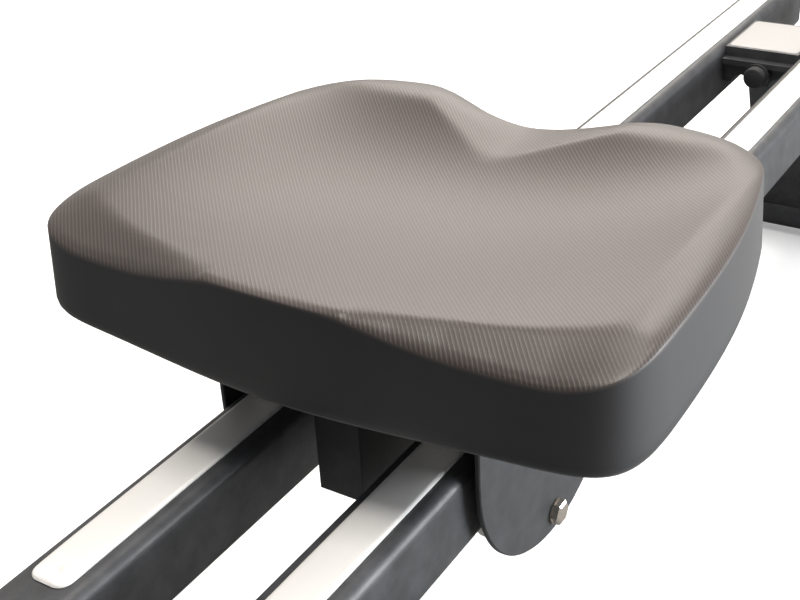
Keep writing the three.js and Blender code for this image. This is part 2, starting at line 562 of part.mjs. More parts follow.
// ---------- Monitor ----------
{
  const m = MONITOR;
  const tilt = THREE.MathUtils.degToRad(m.tilt);
  const place = new THREE.Matrix4()
    .makeTranslation(m.x, 0, m.z)
    .multiply(new THREE.Matrix4().makeRotationY(-tilt));
  const face = (geometry) => geometry.applyMatrix4(place);
  const bodyShape = roundedRectangle(m.height, m.width, m.corner);
  const shell = extrudeZ(bodyShape, -m.depth / 2, m.depth / 2);
  const windowPlan = roundedRectangle(62, m.width - 34, 4);
  const recess = extrudeZ(windowPlan, m.depth / 2 - 2.5, m.depth / 2 + 1).translate(14, 0, 0);
  const buttonXs = [-1, 1];
  const front = m.depth / 2;
  const buttonX = 4 - BUTTON.down;
  const onFace = (radius, from, to, i) => rod("z", radius, from, to, buttonX, i * BUTTON.spacing, 20);
  const wells = buttonXs.map((i) => onFace(BUTTON.radius + 0.6, front - 6, front + 1, i));
  const knuckle = rod("y", 9, -13, 13, -8, -m.depth / 2 - 8, 20);
  const lug = block(-16, 0, -13, 13, -m.depth / 2 - 9, -m.depth / 2 + 1);
  const bore = rod("y", 4 + GAP, -20, 20, -8, -m.depth / 2 - 8, 16);
  add("monitor_body", face(cut(join(shell, lug, knuckle), recess, bore, ...wells)), "plastic");
  const screen = extrudeZ(roundedRectangle(61, m.width - 35, 4), front - 2.2, front - 0.6);
  add("monitor_screen", face(screen.translate(14, 0, 0)), "screen");
  buttonXs.forEach((i, n) => {
    const button = onFace(BUTTON.radius, front - 2.8, front + 1.6, i);
    add(`monitor_button_${n + 1}`, face(button), "rubber");
  });

  const pivot = new THREE.Vector3(-8, 0, -m.depth / 2 - 8).applyMatrix4(place);
  const earSpan = (sign) => (sign > 0 ? [13.6, 18] : [-18, -13.6]);
  const ear = (sign) => {
    const disc = rod("y", 7.4, ...earSpan(sign), pivot.x, pivot.z, 20);
    return join(disc, block(pivot.x - 6, pivot.x + 6, ...earSpan(sign), pivot.z - 36, pivot.z));
  };
  const pin = rod("y", 4, -19, 19, pivot.x, pivot.z, 16);
  const cross = block(pivot.x - 9, pivot.x + 9, -18, 18, pivot.z - 42, pivot.z - 30);
  const mast = block(pivot.x - 8, pivot.x + 8, -15, 15, COVER.top + 1, pivot.z - 38);
  const flange = block(pivot.x - 26, pivot.x + 26, -28, 28, COVER.top + GAP, COVER.top + 5);
  add("monitor_mast", join(ear(1), ear(-1), pin, cross, mast, flange), "frame");
}

// ---------- Transport wheels ----------
for (const [side, sign] of SIDES) {
  const y = sign * WHEEL.y;
  const wheel = cut(
    rod("y", WHEEL.radius, y - WHEEL.width / 2, y + WHEEL.width / 2, WHEEL.x, WHEEL.z, 32),
    rod("y", WHEEL.axle + GAP, y - 20, y + 20, WHEEL.x, WHEEL.z, 16));
  add(`transport_wheel_${side}`, wheel, "rubber");
}

export default group;
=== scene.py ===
# %% [markdown]
# # A twin-rail rowing machine
# The frame of the machine, its joints and its sizes come from the CAD model. This lesson dresses that
# frame: the moulded seat, the painted rails with their steel running strips, the water tank, the
# handle and the rest. Everything is in metres, +X runs towards the tank, +Y is the rower's left and
# +Z is up. Every new piece is built where the CAD says, then told which body it rides on, so the
# joints keep working.

# %% Load the CAD frame
import json
import math

import bmesh
import bpy
import numpy as np
from mathutils import Matrix, Vector


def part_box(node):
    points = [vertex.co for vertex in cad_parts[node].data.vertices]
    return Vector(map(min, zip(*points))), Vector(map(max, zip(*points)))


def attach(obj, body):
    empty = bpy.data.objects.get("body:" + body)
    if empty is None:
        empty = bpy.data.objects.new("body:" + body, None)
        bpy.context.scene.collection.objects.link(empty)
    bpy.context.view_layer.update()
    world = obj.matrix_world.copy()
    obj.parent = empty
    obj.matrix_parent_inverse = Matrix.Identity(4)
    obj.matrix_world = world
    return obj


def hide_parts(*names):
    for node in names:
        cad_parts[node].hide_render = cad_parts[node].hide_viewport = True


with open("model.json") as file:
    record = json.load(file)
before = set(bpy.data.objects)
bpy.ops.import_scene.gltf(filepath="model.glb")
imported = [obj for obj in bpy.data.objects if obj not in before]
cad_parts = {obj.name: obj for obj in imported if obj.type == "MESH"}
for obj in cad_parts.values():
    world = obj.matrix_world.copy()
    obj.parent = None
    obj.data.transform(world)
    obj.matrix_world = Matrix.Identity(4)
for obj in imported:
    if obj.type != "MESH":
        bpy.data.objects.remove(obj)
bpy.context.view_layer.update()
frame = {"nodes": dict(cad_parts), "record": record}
BODY_OF = {node: body for body, nodes in frame["record"]["behaviour"]["bodies"].items() for node in nodes}
SIDES = (("left", 1), ("right", -1))
MM = 0.001

# %% [markdown]
# ## Camera
# A product is often shown from the front corner and from above, close to the part that matters. Here
# that part is the seat. The camera is a plain object whose rotation comes from three directions: what
# it looks along, what counts as up, and the side that follows from both. A little roll makes the
# rails run down across the picture.

# %% Place the camera
VIEW_AZIMUTH, VIEW_ELEVATION, VIEW_ROLL = math.radians(123.72), math.radians(29.53), math.radians(3.26)
CAMERA_AT = Vector((0.3982, 0.3336, 0.6865))

camera_data = bpy.data.cameras.new("camera")
camera_data.lens = 58.34
camera_data.sensor_width = 36.0
camera_data.clip_start = 0.02
camera = bpy.data.objects.new("camera", camera_data)
bpy.context.scene.collection.objects.link(camera)
back = Vector((
    math.sin(VIEW_AZIMUTH) * math.cos(VIEW_ELEVATION),
    -math.cos(VIEW_AZIMUTH) * math.cos(VIEW_ELEVATION),
    math.sin(VIEW_ELEVATION)))
level = back.to_track_quat("Z", "Y").to_matrix().to_4x4()
camera.matrix_world = Matrix.Translation(CAMERA_AT) @ level @ Matrix.Rotation(-VIEW_ROLL, 4, "Z")
bpy.context.scene.camera = camera
print("camera looks along", [round(-x, 3) for x in back])

# %% [markdown]
# ## Light
# A white sweep and five soft lamps give a calm product shot. `overhead` is the general light.
# `back_soft` and the small `rim_accent` come from behind: they skim the knurl, fill the hollow, trace
# the far rim and leave the front wall dark. `side_high` and `side_low` stand at the rower's left and
# lift the side of the seat and of the rail. The world is a soft sky that is brighter at the back, so
# that the steel strips have something to mirror. The Light Path node shows the camera plain white
# instead, as a paper sweep would.

# %% Build the studio
scene = bpy.context.scene
scene.view_settings.view_transform = "Standard"
scene.view_settings.look = "None"


def lamp(name, at, aim, size, power, colour):
    data = bpy.data.lights.new(name, "AREA")
    data.shape = "RECTANGLE"
    data.size, data.size_y = size
    data.energy = power
    data.color = colour
    made = bpy.data.objects.new(name, data)
    scene.collection.objects.link(made)
    made.location = at
    made.rotation_euler = (Vector(aim) - Vector(at)).to_track_quat("-Z", "Y").to_euler()


SEAT_SPOT = (-0.12, 0.0, 0.38)
lamp("overhead", (-0.15, 0.35, 2.4), SEAT_SPOT, (1.0, 0.8), 38.0, (1.0, 0.955, 0.90))
lamp("back_soft", (-2.3, -0.9, 1.55), SEAT_SPOT, (1.5, 1.0), 21.0, (1.0, 0.93, 0.85))
lamp("rim_accent", (-2.0, 0.1, 2.2), SEAT_SPOT, (0.6, 0.6), 20.0, (1.0, 0.95, 0.90))
lamp("side_high", (-0.5, 1.7, 1.5), SEAT_SPOT, (1.6, 0.7), 12.0, (0.97, 0.98, 1.0))
lamp("side_low", (-1.3, 2.1, 0.50), SEAT_SPOT, (1.4, 0.6), 68.0, (0.93, 0.97, 1.0))

world = bpy.data.worlds.new("studio")
world.use_nodes = True
sky = world.node_tree
BRIGHT_SKY, DIM_SKY, PAPER = (0.80, 0.77, 0.73, 1), (0.22, 0.225, 0.235, 1), (1.0, 1.0, 1.0, 1)
look = sky.nodes.new("ShaderNodeTexCoord").outputs["Generated"]
towards = sky.nodes.new("ShaderNodeVectorMath")
towards.operation = "DOT_PRODUCT"
sky.links.new(look, towards.inputs[0])
towards.inputs[1].default_value = (-0.74, -0.50, 0.45)
share = sky.nodes.new("ShaderNodeMapRange")
share.interpolation_type = "SMOOTHSTEP"
share.inputs["From Min"].default_value = 0.1
share.inputs["From Max"].default_value = 0.95
sky.links.new(towards.outputs["Value"], share.inputs["Value"])
sky_colour = sky.nodes.new("ShaderNodeMix")
sky_colour.data_type = "RGBA"
sky_colour.inputs[6].default_value, sky_colour.inputs[7].default_value = DIM_SKY, BRIGHT_SKY
sky.links.new(share.outputs["Result"], sky_colour.inputs[0])
seen = sky.nodes.new("ShaderNodeMix")
seen.data_type = "RGBA"
seen.inputs[7].default_value = PAPER
sky.links.new(sky.nodes.new("ShaderNodeLightPath").outputs["Is Camera Ray"], seen.inputs[0])
sky.links.new(sky_colour.outputs[2], seen.inputs[6])
sky.links.new(seen.outputs[2], sky.nodes["Background"].inputs["Color"])
scene.world = world
print("sky goes from", DIM_SKY[:3], "to", BRIGHT_SKY[:3])

# %% [markdown]
# ## Small helpers for node trees
# A material is a graph. `put` adds one node and wires it in the same call, which keeps every material
# short enough to read. `group` makes a node group: its sockets are named, so one effect can be placed
# in many materials with different values.

# %% Node helpers


def put(tree, kind, wires=(), **settings):
    """Adds a node. Each wire sets or links the input of that name or number."""
    node = tree.nodes.new(kind)
    for key, value in settings.items():
        setattr(node, key, value)
    for key, value in dict(wires).items():
        socket = node.inputs[key]
        if isinstance(value, bpy.types.NodeSocket):
            tree.links.new(value, socket)
        else:
            socket.default_value = value
    return node


def calc(tree, operation, *values):
    return put(tree, "ShaderNodeMath", dict(enumerate(values)), operation=operation).outputs[0]


def remap(tree, value, low, high, to_low=0.0, to_high=1.0):
    wires = {"Value": value, "From Min": low, "From Max": high, "To Min": to_low, "To Max": to_high}
    return put(tree, "ShaderNodeMapRange", wires).outputs["Result"]


def tint(tree, mask, dark, light):
    """A colour between two, by a mask."""
    wires = {0: mask, 6: dark, 7: light}
    return put(tree, "ShaderNodeMix", wires, data_type="RGBA").outputs[2]


def noise(tree, vector, scale, detail=3.0, roughness=0.5):
    wires = {"Vector": vector, "Scale": scale, "Detail": detail, "Roughness": roughness}
    return put(tree, "ShaderNodeTexNoise", wires).outputs["Fac"]


def stretch(tree, vector, scale, turn=(0.0, 0.0, 0.0)):
    wires = {"Vector": vector, "Scale": scale, "Rotation": turn}
    return put(tree, "ShaderNodeMapping", wires).outputs["Vector"]


def group(name, inputs, outputs):
    """An empty shader group. Inputs are (name, kind, value), outputs are (name, kind)."""
    tree = bpy.data.node_groups.new(name, "ShaderNodeTree")
    for label, kind, value in inputs:
        socket = tree.interface.new_socket(label, in_out="INPUT", socket_type=f"NodeSocket{kind}")
        if value is not None:
            socket.default_value = value
    for label, kind in outputs:
        tree.interface.new_socket(label, in_out="OUTPUT", socket_type=f"NodeSocket{kind}")
    return tree, tree.nodes.new("NodeGroupInput").outputs, tree.nodes.new("NodeGroupOutput").inputs


def use(tree, made, **wires):
    """Places a group. Underscores in a wire's name stand for spaces."""
    node = tree.nodes.new("ShaderNodeGroup")
    node.node_tree = made
    for label, value in wires.items():
        socket = node.inputs[label.replace("_", " ")]
        if isinstance(value, bpy.types.NodeSocket):
            tree.links.new(value, socket)
        else:
            socket.default_value = value
    return node.outputs


# %% [markdown]
# ## Effects that several finishes share
# Powder coat, moulded plastic and rubber all have a fine grain, and all of them pick up a little dust
# on top and a little polish on their edges. Each effect is a group that puts out a mask or a height,
# never a shader, so the material decides what the mask does.

# %% Group: fine grain
GRAIN, sent, made = group(
    "fine_grain",
    [("Vector", "Vector", None), ("Scale", "Float", 900.0), ("Softness", "Float", 0.5)],
    [("Height", "Float"), ("Patches", "Float")])
fine = noise(GRAIN, sent["Vector"], sent["Scale"], 2.0, sent["Softness"])
cell_wires = {"Vector": sent["Vector"], "Scale": sent["Scale"]}
cells = put(GRAIN, "ShaderNodeTexVoronoi", cell_wires).outputs["Distance"]
broad = noise(GRAIN, sent["Vector"], 9.0, 3.0, 0.6)
GRAIN.links.new(calc(GRAIN, "ADD", fine, calc(GRAIN, "MULTIPLY", cells, 0.6)), made["Height"])
GRAIN.links.new(remap(GRAIN, broad, 0.3, 0.7), made["Patches"])
print("group", GRAIN.name)

# %% [markdown]
# Edge wear is found from the shape itself: Pointiness is high where the surface is convex. Noise
# breaks the line up, because a hand or a shoe never rubs an edge evenly.

# %% Group: edge wear
WEAR, sent, made = group(
    "edge_wear",
    [("Vector", "Vector", None), ("Reach", "Float", 0.06), ("Amount", "Float", 0.6)],
    [("Mask", "Float")])
pointed = put(WEAR, "ShaderNodeNewGeometry").outputs["Pointiness"]
edge = remap(WEAR, pointed, 0.51, calc(WEAR, "ADD", sent["Reach"], 0.51))
broken = remap(WEAR, noise(WEAR, sent["Vector"], 60.0, 4.0, 0.65), 0.35, 0.7)
WEAR.links.new(calc(WEAR, "MULTIPLY", calc(WEAR, "MULTIPLY", edge, broken), sent["Amount"]), made["Mask"])
print("group", WEAR.name)

# %% [markdown]
# Dust settles on what faces up. The mask is the upward part of the surface normal, thinned by noise.

# %% Group: dust film
DUST, sent, made = group(
    "dust_film",
    [("Vector", "Vector", None), ("Amount", "Float", 0.15)],
    [("Mask", "Float")])
normal = put(DUST, "ShaderNodeNewGeometry").outputs["Normal"]
up = put(DUST, "ShaderNodeSeparateXYZ", {"Vector": normal}).outputs["Z"]
specks = remap(DUST, noise(DUST, sent["Vector"], 35.0, 6.0, 0.7), 0.4, 0.8)
facing = remap(DUST, up, 0.4, 1.0)
DUST.links.new(calc(DUST, "MULTIPLY", calc(DUST, "MULTIPLY", specks, facing), sent["Amount"]), made["Mask"])
print("group", DUST.name)

# %% [markdown]
# Brushed steel is scratched in one direction. Noise that is stretched a hundred times along the piece
# gives the streaks, and a second, broader one makes bands that are a little duller, as rollers leave
# behind.

# %% Group: brushed streaks
BRUSHED, sent, made = group(
    "brushed_streaks",
    [("Vector", "Vector", None), ("Fineness", "Float", 1.0)],
    [("Streaks", "Float"), ("Bands", "Float")])
scale_wires = {0: sent["Vector"], 3: sent["Fineness"]}
scaled = put(BRUSHED, "ShaderNodeVectorMath", scale_wires, operation="SCALE").outputs[0]
streaks = noise(BRUSHED, stretch(BRUSHED, scaled, (12.0, 1800.0, 1800.0)), 1.0, 4.0, 0.6)
bands = noise(BRUSHED, stretch(BRUSHED, scaled, (1.5, 160.0, 160.0)), 1.0, 2.0, 0.5)
BRUSHED.links.new(streaks, made["Streaks"])
BRUSHED.links.new(bands, made["Bands"])
print("group", BRUSHED.name)

# %% [markdown]
# Webbing is woven in ribs: flat warp threads with a weft that dips under them. Two sine waves, one of
# them shifted every other row, are enough to read as a weave.

# %% Group: webbing weave
WEAVE, sent, made = group(
    "webbing_weave",
    [("Along", "Float", 0.0), ("Across", "Float", 0.0), ("Pitch", "Float", 0.0016)],
    [("Height", "Float")])


def wave(tree, distance, pitch, shift=0.0):
    turns = calc(tree, "MULTIPLY_ADD", calc(tree, "DIVIDE", distance, pitch), 2 * math.pi, shift)
    return calc(tree, "SINE", turns)


rows = calc(WEAVE, "GREATER_THAN", wave(WEAVE, sent["Across"], sent["Pitch"]), 0.0)
shifted = calc(WEAVE, "MULTIPLY", rows, math.pi)
ribs = calc(WEAVE, "ABSOLUTE", wave(WEAVE, sent["Across"], sent["Pitch"]))
dips = calc(WEAVE, "ABSOLUTE", wave(WEAVE, sent["Along"], sent["Pitch"], shifted))
WEAVE.links.new(calc(WEAVE, "MULTIPLY", calc(WEAVE, "POWER", ribs, 0.5), dips), made["Height"])
print("group", WEAVE.name)

# %% [markdown]
# The seat's top carries a moulded knurl: fine ridges along one diagonal, each notched into small
# pads. Both come from folded waves. The first is turned by 43 degrees and taken upside down, so its
# sharp valleys become narrow ridges with wide hollows between them. The second runs straight along
# the seat and notches the ridges.

# %% Group: diamond knurl
KNURL, sent, made = group(
    "diamond_knurl",
    [("Vector", "Vector", None), ("Pitch", "Float", 0.00193), ("Mask", "Float", 1.0)],
    [("Height", "Float"), ("Groove shade", "Float")])
RIDGE_TURN = math.radians(-43.0)
slanted = stretch(KNURL, sent["Vector"], (1.0, 1.0, 1.0), (0.0, 0.0, RIDGE_TURN))
across_ridges = put(KNURL, "ShaderNodeSeparateXYZ", {"Vector": slanted}).outputs["Y"]
across_seat = put(KNURL, "ShaderNodeSeparateXYZ", {"Vector": sent["Vector"]}).outputs["Y"]


def folded(distance, pitch, power):
    half_turns = calc(KNURL, "MULTIPLY", calc(KNURL, "DIVIDE", distance, pitch), math.pi)
    return calc(KNURL, "POWER", calc(KNURL, "ABSOLUTE", calc(KNURL, "SINE", half_turns)), power)


HOLLOW_POWER, NOTCH_POWER = 0.35, 0.30
hollows = folded(across_ridges, sent["Pitch"], HOLLOW_POWER)
notches = folded(across_seat, sent["Pitch"], NOTCH_POWER)
ridges = calc(KNURL, "SUBTRACT", 1.0, hollows)
pads = calc(KNURL, "MULTIPLY", ridges, calc(KNURL, "MULTIPLY_ADD", notches, 0.5, 0.5))
KNURL.links.new(calc(KNURL, "MULTIPLY", pads, sent["Mask"]), made["Height"])
# The groove mask below is used as painted shade: the seat's finish darkens the grooves with it, which leaves
# the ridges as thin painted highlights.
groove_shade = calc(KNURL, "SUBTRACT", 1.0, pads)
KNURL.links.new(calc(KNURL, "MULTIPLY", groove_shade, sent["Mask"]), made["Groove shade"])
print("group", KNURL.name)

# %% [markdown]
# ## Finishes
# Every finish starts from the Principled shader. `finish_named` makes an empty one and hands back its
# tree, its shader and the piece's own coordinates. `bump` turns a height in millimetres into a
# normal.

# %% Finish helpers
FINISH = {}


def finish_named(name, **constants):
    material = bpy.data.materials.new(name)
    material.use_nodes = True
    tree = material.node_tree
    shader = tree.nodes["Principled BSDF"]
    for label, value in constants.items():
        shader.inputs[label.replace("_", " ")].default_value = value
    material.diffuse_color = shader.inputs["Base Color"].default_value
    FINISH[name] = material
    return tree, shader.inputs, tree.nodes.new("ShaderNodeTexCoord").outputs["Object"]


def bump(tree, height, depth):
    wires = {"Height": height, "Distance": depth * MM, "Strength": 1.0}
    return put(tree, "ShaderNodeBump", wires).outputs["Normal"]


def grained(name, dark, light, rough, grain, depth, wear, dust):
    """Paint, plastic or rubber: a grain, patches of colour, worn edges and dust."""
    tree, shader, place = finish_named(name, Base_Color=dark)
    texture = use(tree, GRAIN, Vector=place, Scale=grain)
    colour = tint(tree, texture["Patches"], dark, light)
    rubbed = use(tree, WEAR, Vector=place, Amount=wear)["Mask"]
    bare = tuple(min(1.0, 2.6 * c + 0.05) for c in light[:3]) + (1.0,)
    colour = tint(tree, rubbed, colour, bare)
    film = use(tree, DUST, Vector=place, Amount=dust)["Mask"]
    colour = tint(tree, film, colour, (0.42, 0.41, 0.39, 1.0))
    tree.links.new(colour, shader["Base Color"])
    low = remap(tree, texture["Patches"], 0.0, 1.0, rough - 0.01, rough + 0.01)
    duller = calc(tree, "MULTIPLY_ADD", film, 0.5, low)
    tree.links.new(calc(tree, "MULTIPLY_ADD", rubbed, -0.12, duller), shader["Roughness"])
    tree.links.new(bump(tree, texture["Height"], depth), shader["Normal"])


# %% [markdown]
# The tubes and plates are powder coated: black with a slight blue, satin, and textured so finely that
# it only softens the highlights. Plastic covers share the recipe with a coarser grain, and rubber is
# duller still.

# %% Paint, plastic and rubber
# Name, dark and light colour, roughness, grain, depth in mm, wear, dust.
for row in (
        ("black_powder", (0.035, 0.036, 0.039, 1), (0.037, 0.038, 0.041, 1), 0.46, 1300.0, 0.05, 0.3, 0.006),
        ("grey_powder", (0.38, 0.37, 0.36, 1), (0.40, 0.39, 0.38, 1), 0.42, 1300.0, 0.05, 0.3, 0.02),
        ("moulded_black", (0.020, 0.021, 0.023, 1), (0.026, 0.027, 0.029, 1), 0.5, 700.0, 0.08, 0.25, 0.03),
        ("soft_rubber", (0.016, 0.016, 0.017, 1), (0.023, 0.023, 0.024, 1), 0.72, 420.0, 0.1, 0.2, 0.15),
        ("white_nylon", (0.70, 0.69, 0.65, 1), (0.76, 0.75, 0.71, 1), 0.38, 500.0, 0.03, 0.1, 0.1)):
    grained(*row)
print("finishes so far:", ", ".join(FINISH))

# %% [markdown]
# The running strips are satin stainless steel that the rollers keep bright. The metal is the same
# everywhere, so only its roughness and a very shallow bump follow the streaks. The strip has a
# Metallic of 0.25: a finely scratched band spreads most of the light it gets, so part of it acts as a
# pale matt surface. Bolts and axles are plated steel, warmer and finer.

# %% Steel finishes


def metal(name, colour, dull, rough, depth, fineness, along=(0.0, 0.0, 0.0), metallic=1.0):
    tree, shader, place = finish_named(name, Base_Color=colour, Metallic=metallic)
    lined = use(tree, BRUSHED, Vector=stretch(tree, place, (1.0, 1.0, 1.0), along), Fineness=fineness)
    tree.links.new(tint(tree, lined["Bands"], colour, dull), shader["Base Color"])
    even = calc(tree, "MULTIPLY_ADD", lined["Streaks"], 0.10, rough)
    tree.links.new(calc(tree, "MULTIPLY_ADD", lined["Bands"], 0.08, even), shader["Roughness"])
    tree.links.new(bump(tree, lined["Streaks"], depth), shader["Normal"])


metal("satin_steel", (0.97, 0.95, 0.915, 1), (0.92, 0.905, 0.88, 1), 0.36, 0.004, 1.0, metallic=0.25)
QUARTER_TURN = (0.0, 0.0, math.pi / 2)
metal("plated_steel", (0.80, 0.73, 0.64, 1), (0.62, 0.56, 0.48, 1), 0.16, 0.006, 1.4, QUARTER_TURN)
print("steel finishes ready")

# %% [markdown]
# The seat is a moulded foam with a closed skin, nearly black on the smooth wall. On top the colour is a
# painted sheen: a warm dark grey, much lighter than the wall, stands in for the light that the knurl
# catches. A mask on the mesh, called `knurl`, says where the top ends. Foam skin has a soft sheen at
# grazing angles, which a little Sheen on the shader gives.

# %% Seat skin
tree, shader, place = finish_named(
    "seat_skin", Base_Color=(0.115, 0.104, 0.096, 1), Sheen_Weight=0.10, Sheen_Roughness=0.45,
    Specular_IOR_Level=0.45)
top = put(tree, "ShaderNodeAttribute", attribute_name="knurl").outputs["Fac"]
knurl = use(tree, KNURL, Vector=place, Mask=top)
skin = use(tree, GRAIN, Vector=place, Scale=800.0)
wall_colour = tint(tree, skin["Patches"], (0.037, 0.037, 0.039, 1), (0.041, 0.041, 0.043, 1))
# Painted sheen: the top's warm grey is lighter than the black skin, standing in for the light that it catches.
sheen_top_colour = tint(tree, skin["Patches"], (0.150, 0.119, 0.105, 1), (0.166, 0.132, 0.117, 1))
# Painted shade in the knurl's grooves, so that the ridges read as thin painted highlights.
sheen_top_colour = tint(tree, knurl["Groove shade"], sheen_top_colour, (0.049, 0.040, 0.036, 1))
tree.links.new(tint(tree, top, wall_colour, sheen_top_colour), shader["Base Color"])
tree.links.new(remap(tree, top, 0.0, 1.0, 0.58, 0.40), shader["Roughness"])
knurled = calc(tree, "MULTIPLY_ADD", skin["Height"], 0.10, knurl["Height"])
tree.links.new(bump(tree, knurled, 0.065), shader["Normal"])
print("seat skin ready")

# %% [markdown]
# The tank is clear polycarbonate and the water inside is lightly tinted. Both keep one plain
# Transmission Weight; only their roughness and bump change over the surface, as flow marks and
# ripples do.

# %% Clear tank and water
tree, shader, place = finish_named(
    "clear_shell", Base_Color=(0.90, 0.95, 0.97, 1), Transmission_Weight=1.0, IOR=1.49)
marks = noise(tree, place, 14.0, 3.0)
tree.links.new(remap(tree, marks, 0.3, 0.7, 0.03, 0.09), shader["Roughness"])
tree.links.new(bump(tree, marks, 0.05), shader["Normal"])

tree, shader, place = finish_named(
    "tank_water", Base_Color=(0.62, 0.83, 0.93, 1), Transmission_Weight=1.0, IOR=1.33)
ripples = noise(tree, place, 28.0, 2.0)
tree.links.new(remap(tree, ripples, 0.3, 0.7, 0.0, 0.04), shader["Roughness"])
tree.links.new(bump(tree, ripples, 0.6), shader["Normal"])

# %% [markdown]
# The pull belt and the foot straps are black webbing. The weave needs to know which way the band
# runs. Bands here are built with a UV map whose U is the distance along the band and V the distance
# across it, both in metres.

# %% Webbing
tree, shader, place = finish_named("woven_band", Base_Color=(0.022, 0.022, 0.024, 1), Sheen_Weight=0.25)
flat = put(tree, "ShaderNodeUVMap", uv_map="band").outputs["UV"]
runs = put(tree, "ShaderNodeSeparateXYZ", {"Vector": flat}).outputs
woven = use(tree, WEAVE, Along=runs["X"], Across=runs["Y"], Pitch=0.0030)["Height"]
tree.links.new(tint(tree, woven, (0.008, 0.008, 0.009, 1), (0.034, 0.034, 0.037, 1)), shader["Base Color"])
fuzz = noise(tree, place, 900.0, 2.0)
tree.links.new(remap(tree, fuzz, 0.3, 0.7, 0.75, 0.92), shader["Roughness"])
tree.links.new(bump(tree, calc(tree, "MULTIPLY_ADD", fuzz, 0.25, woven), 0.35), shader["Normal"])

# %% [markdown]
# The display window is smoked plastic with a faint haze, and the figures behind it glow a pale green.

# %% Display finishes
tree, shader, place = finish_named("display_window", Base_Color=(0.030, 0.040, 0.037, 1), Coat_Weight=0.6)
haze = noise(tree, place, 60.0, 4.0)
tree.links.new(tint(tree, haze, (0.024, 0.032, 0.030, 1), (0.045, 0.056, 0.052, 1)), shader["Base Color"])
tree.links.new(remap(tree, haze, 0.3, 0.7, 0.12, 0.22), shader["Roughness"])

tree, shader, place = finish_named("display_figures", Base_Color=(0.35, 0.55, 0.42, 1), Roughness=0.4)
flicker = noise(tree, place, 400.0, 2.0)
lit = tint(tree, flicker, (0.30, 0.52, 0.38, 1), (0.44, 0.66, 0.50, 1))
tree.links.new(lit, shader["Base Color"])
tree.links.new(lit, shader["Emission Color"])
shader["Emission Strength"].default_value = 0.35
print(len(FINISH), "finishes")

# %% [markdown]
# ## Mesh helpers
# `piece` turns points and faces into an object and does the paperwork every part needs: its finish,
# the CAD nodes it stands for and the body it rides on. The shapes below all go through it.


def link_piece(name, mesh, finish, body, nodes=(), smooth=True, sharp=35.0):
    mesh.name = name
    made = bpy.data.objects.new(name, mesh)
    scene.collection.objects.link(made)
    mesh.materials.clear()
    mesh.materials.append(FINISH[finish])
    mesh.shade_smooth() if smooth else mesh.shade_flat()
    if smooth and sharp:
        mesh.set_sharp_from_angle(angle=math.radians(sharp))
    if nodes:
        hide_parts(*nodes)
    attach(made, body)
    return made


def piece(name, points, faces, finish, body, nodes=(), smooth=True, sharp=35.0):
    mesh = bpy.data.meshes.new(name)
    mesh.from_pydata([tuple(p) for p in points], [], [tuple(f) for f in faces])
    form = bmesh.new()
    form.from_mesh(mesh)
    bmesh.ops.remove_doubles(form, verts=form.verts, dist=1e-6)
    bmesh.ops.recalc_face_normals(form, faces=form.faces)
    form.to_mesh(mesh)
    form.free()
    return link_piece(name, mesh, finish, body, nodes, smooth, sharp)


# %% [markdown]
# Most brackets and shells need no new design, only softer edges. `refine` copies a CAD node's shape,
# merges the split corners that a CAD mesh has, removes the flat triangles' edges and rounds what is
# left with a small bevel.

# %% Refine a CAD shape


def clean_copy(node):
    mesh = frame["nodes"][node].data.copy()
    form = bmesh.new()
    form.from_mesh(mesh)
    bmesh.ops.remove_doubles(form, verts=form.verts, dist=1e-5)
    bmesh.ops.dissolve_limit(form, angle_limit=math.radians(1.0), verts=form.verts, edges=form.edges)
    form.to_mesh(mesh)
    form.free()
    while mesh.attributes.active_color:
        mesh.attributes.remove(mesh.attributes.active_color)
    return mesh


SOFT_ANGLE = 28.0


def soften(made, width, segments=2):
    bevel = made.modifiers.new("rounded", "BEVEL")
    bevel.width = width * MM
    bevel.segments = segments
    bevel.limit_method = "ANGLE"
    bevel.angle_limit = math.radians(SOFT_ANGLE)
    bevel.harden_normals = True
    bevel.use_clamp_overlap = True


def refine(node, finish, width, segments=2):
    mesh = clean_copy(node)
    made = link_piece(f"{node}_made", mesh, finish, BODY_OF[node], [node], sharp=SOFT_ANGLE)
    soften(made, width, segments)


# %% [markdown]
# Turned parts such as rollers, wheels, grips and bolts are a profile spun round an axis. `turned`
# takes the profile as (distance along the axis, radius) in millimetres and spins it with enough steps
# that no corner shows.

# %% Turned parts
TURN_STEPS = 72


def turned(
        name, profile, at, axis, finish, body, nodes=(), steps=TURN_STEPS, sharp=30.0, squeeze=None):
    """Spins a profile round the axis "x", "y" or "z" through a point, all in millimetres."""
    angles = np.linspace(0.0, 2 * math.pi, steps, endpoint=False)
    points = []
    for along, radius in profile:
        for k, angle in enumerate(angles):
            r = radius * (squeeze(angle) if squeeze else 1.0)
            a, b = r * math.cos(angle), r * math.sin(angle)
            local = {"x": (along, a, b), "y": (a, along, b), "z": (a, b, along)}[axis]
            points.append([(c + o) * MM for c, o in zip(at, local)])
    faces = []
    for i in range(len(profile) - 1):
        for k in range(steps):
            n = (k + 1) % steps
            faces.append((i * steps + k, i * steps + n, (i + 1) * steps + n, (i + 1) * steps + k))
    if profile[0] != profile[-1]:
        faces.append(tuple(range(steps)))
        faces.append(tuple((len(profile) - 1) * steps + k for k in range(steps)))
    piece(name, points, faces, finish, body, nodes, sharp=sharp)


def ring_profile(points):
    """Closes a profile, for a part with a bore."""
    return [*points, points[0]]


# %% [markdown]
# Tubes and strips are one section carried along a line. `swept` joins a list of rings, each with the
# same number of points, and closes the ends unless the list runs in a loop. `swept_piece` makes the
# object too.

# %% Swept parts


def rounded_section(width, height, corner, steps):
    """Points round a rectangle with round corners, centred on the origin."""
    points = []
    for quarter, (sx, sy) in enumerate([(1, 1), (-1, 1), (-1, -1), (1, -1)]):
        for k in range(steps + 1):
            angle = (quarter + k / steps) * math.pi / 2
            points.append((
                sx * (width / 2 - corner) + corner * math.cos(angle),
                sy * (height / 2 - corner) + corner * math.sin(angle)))
    return points


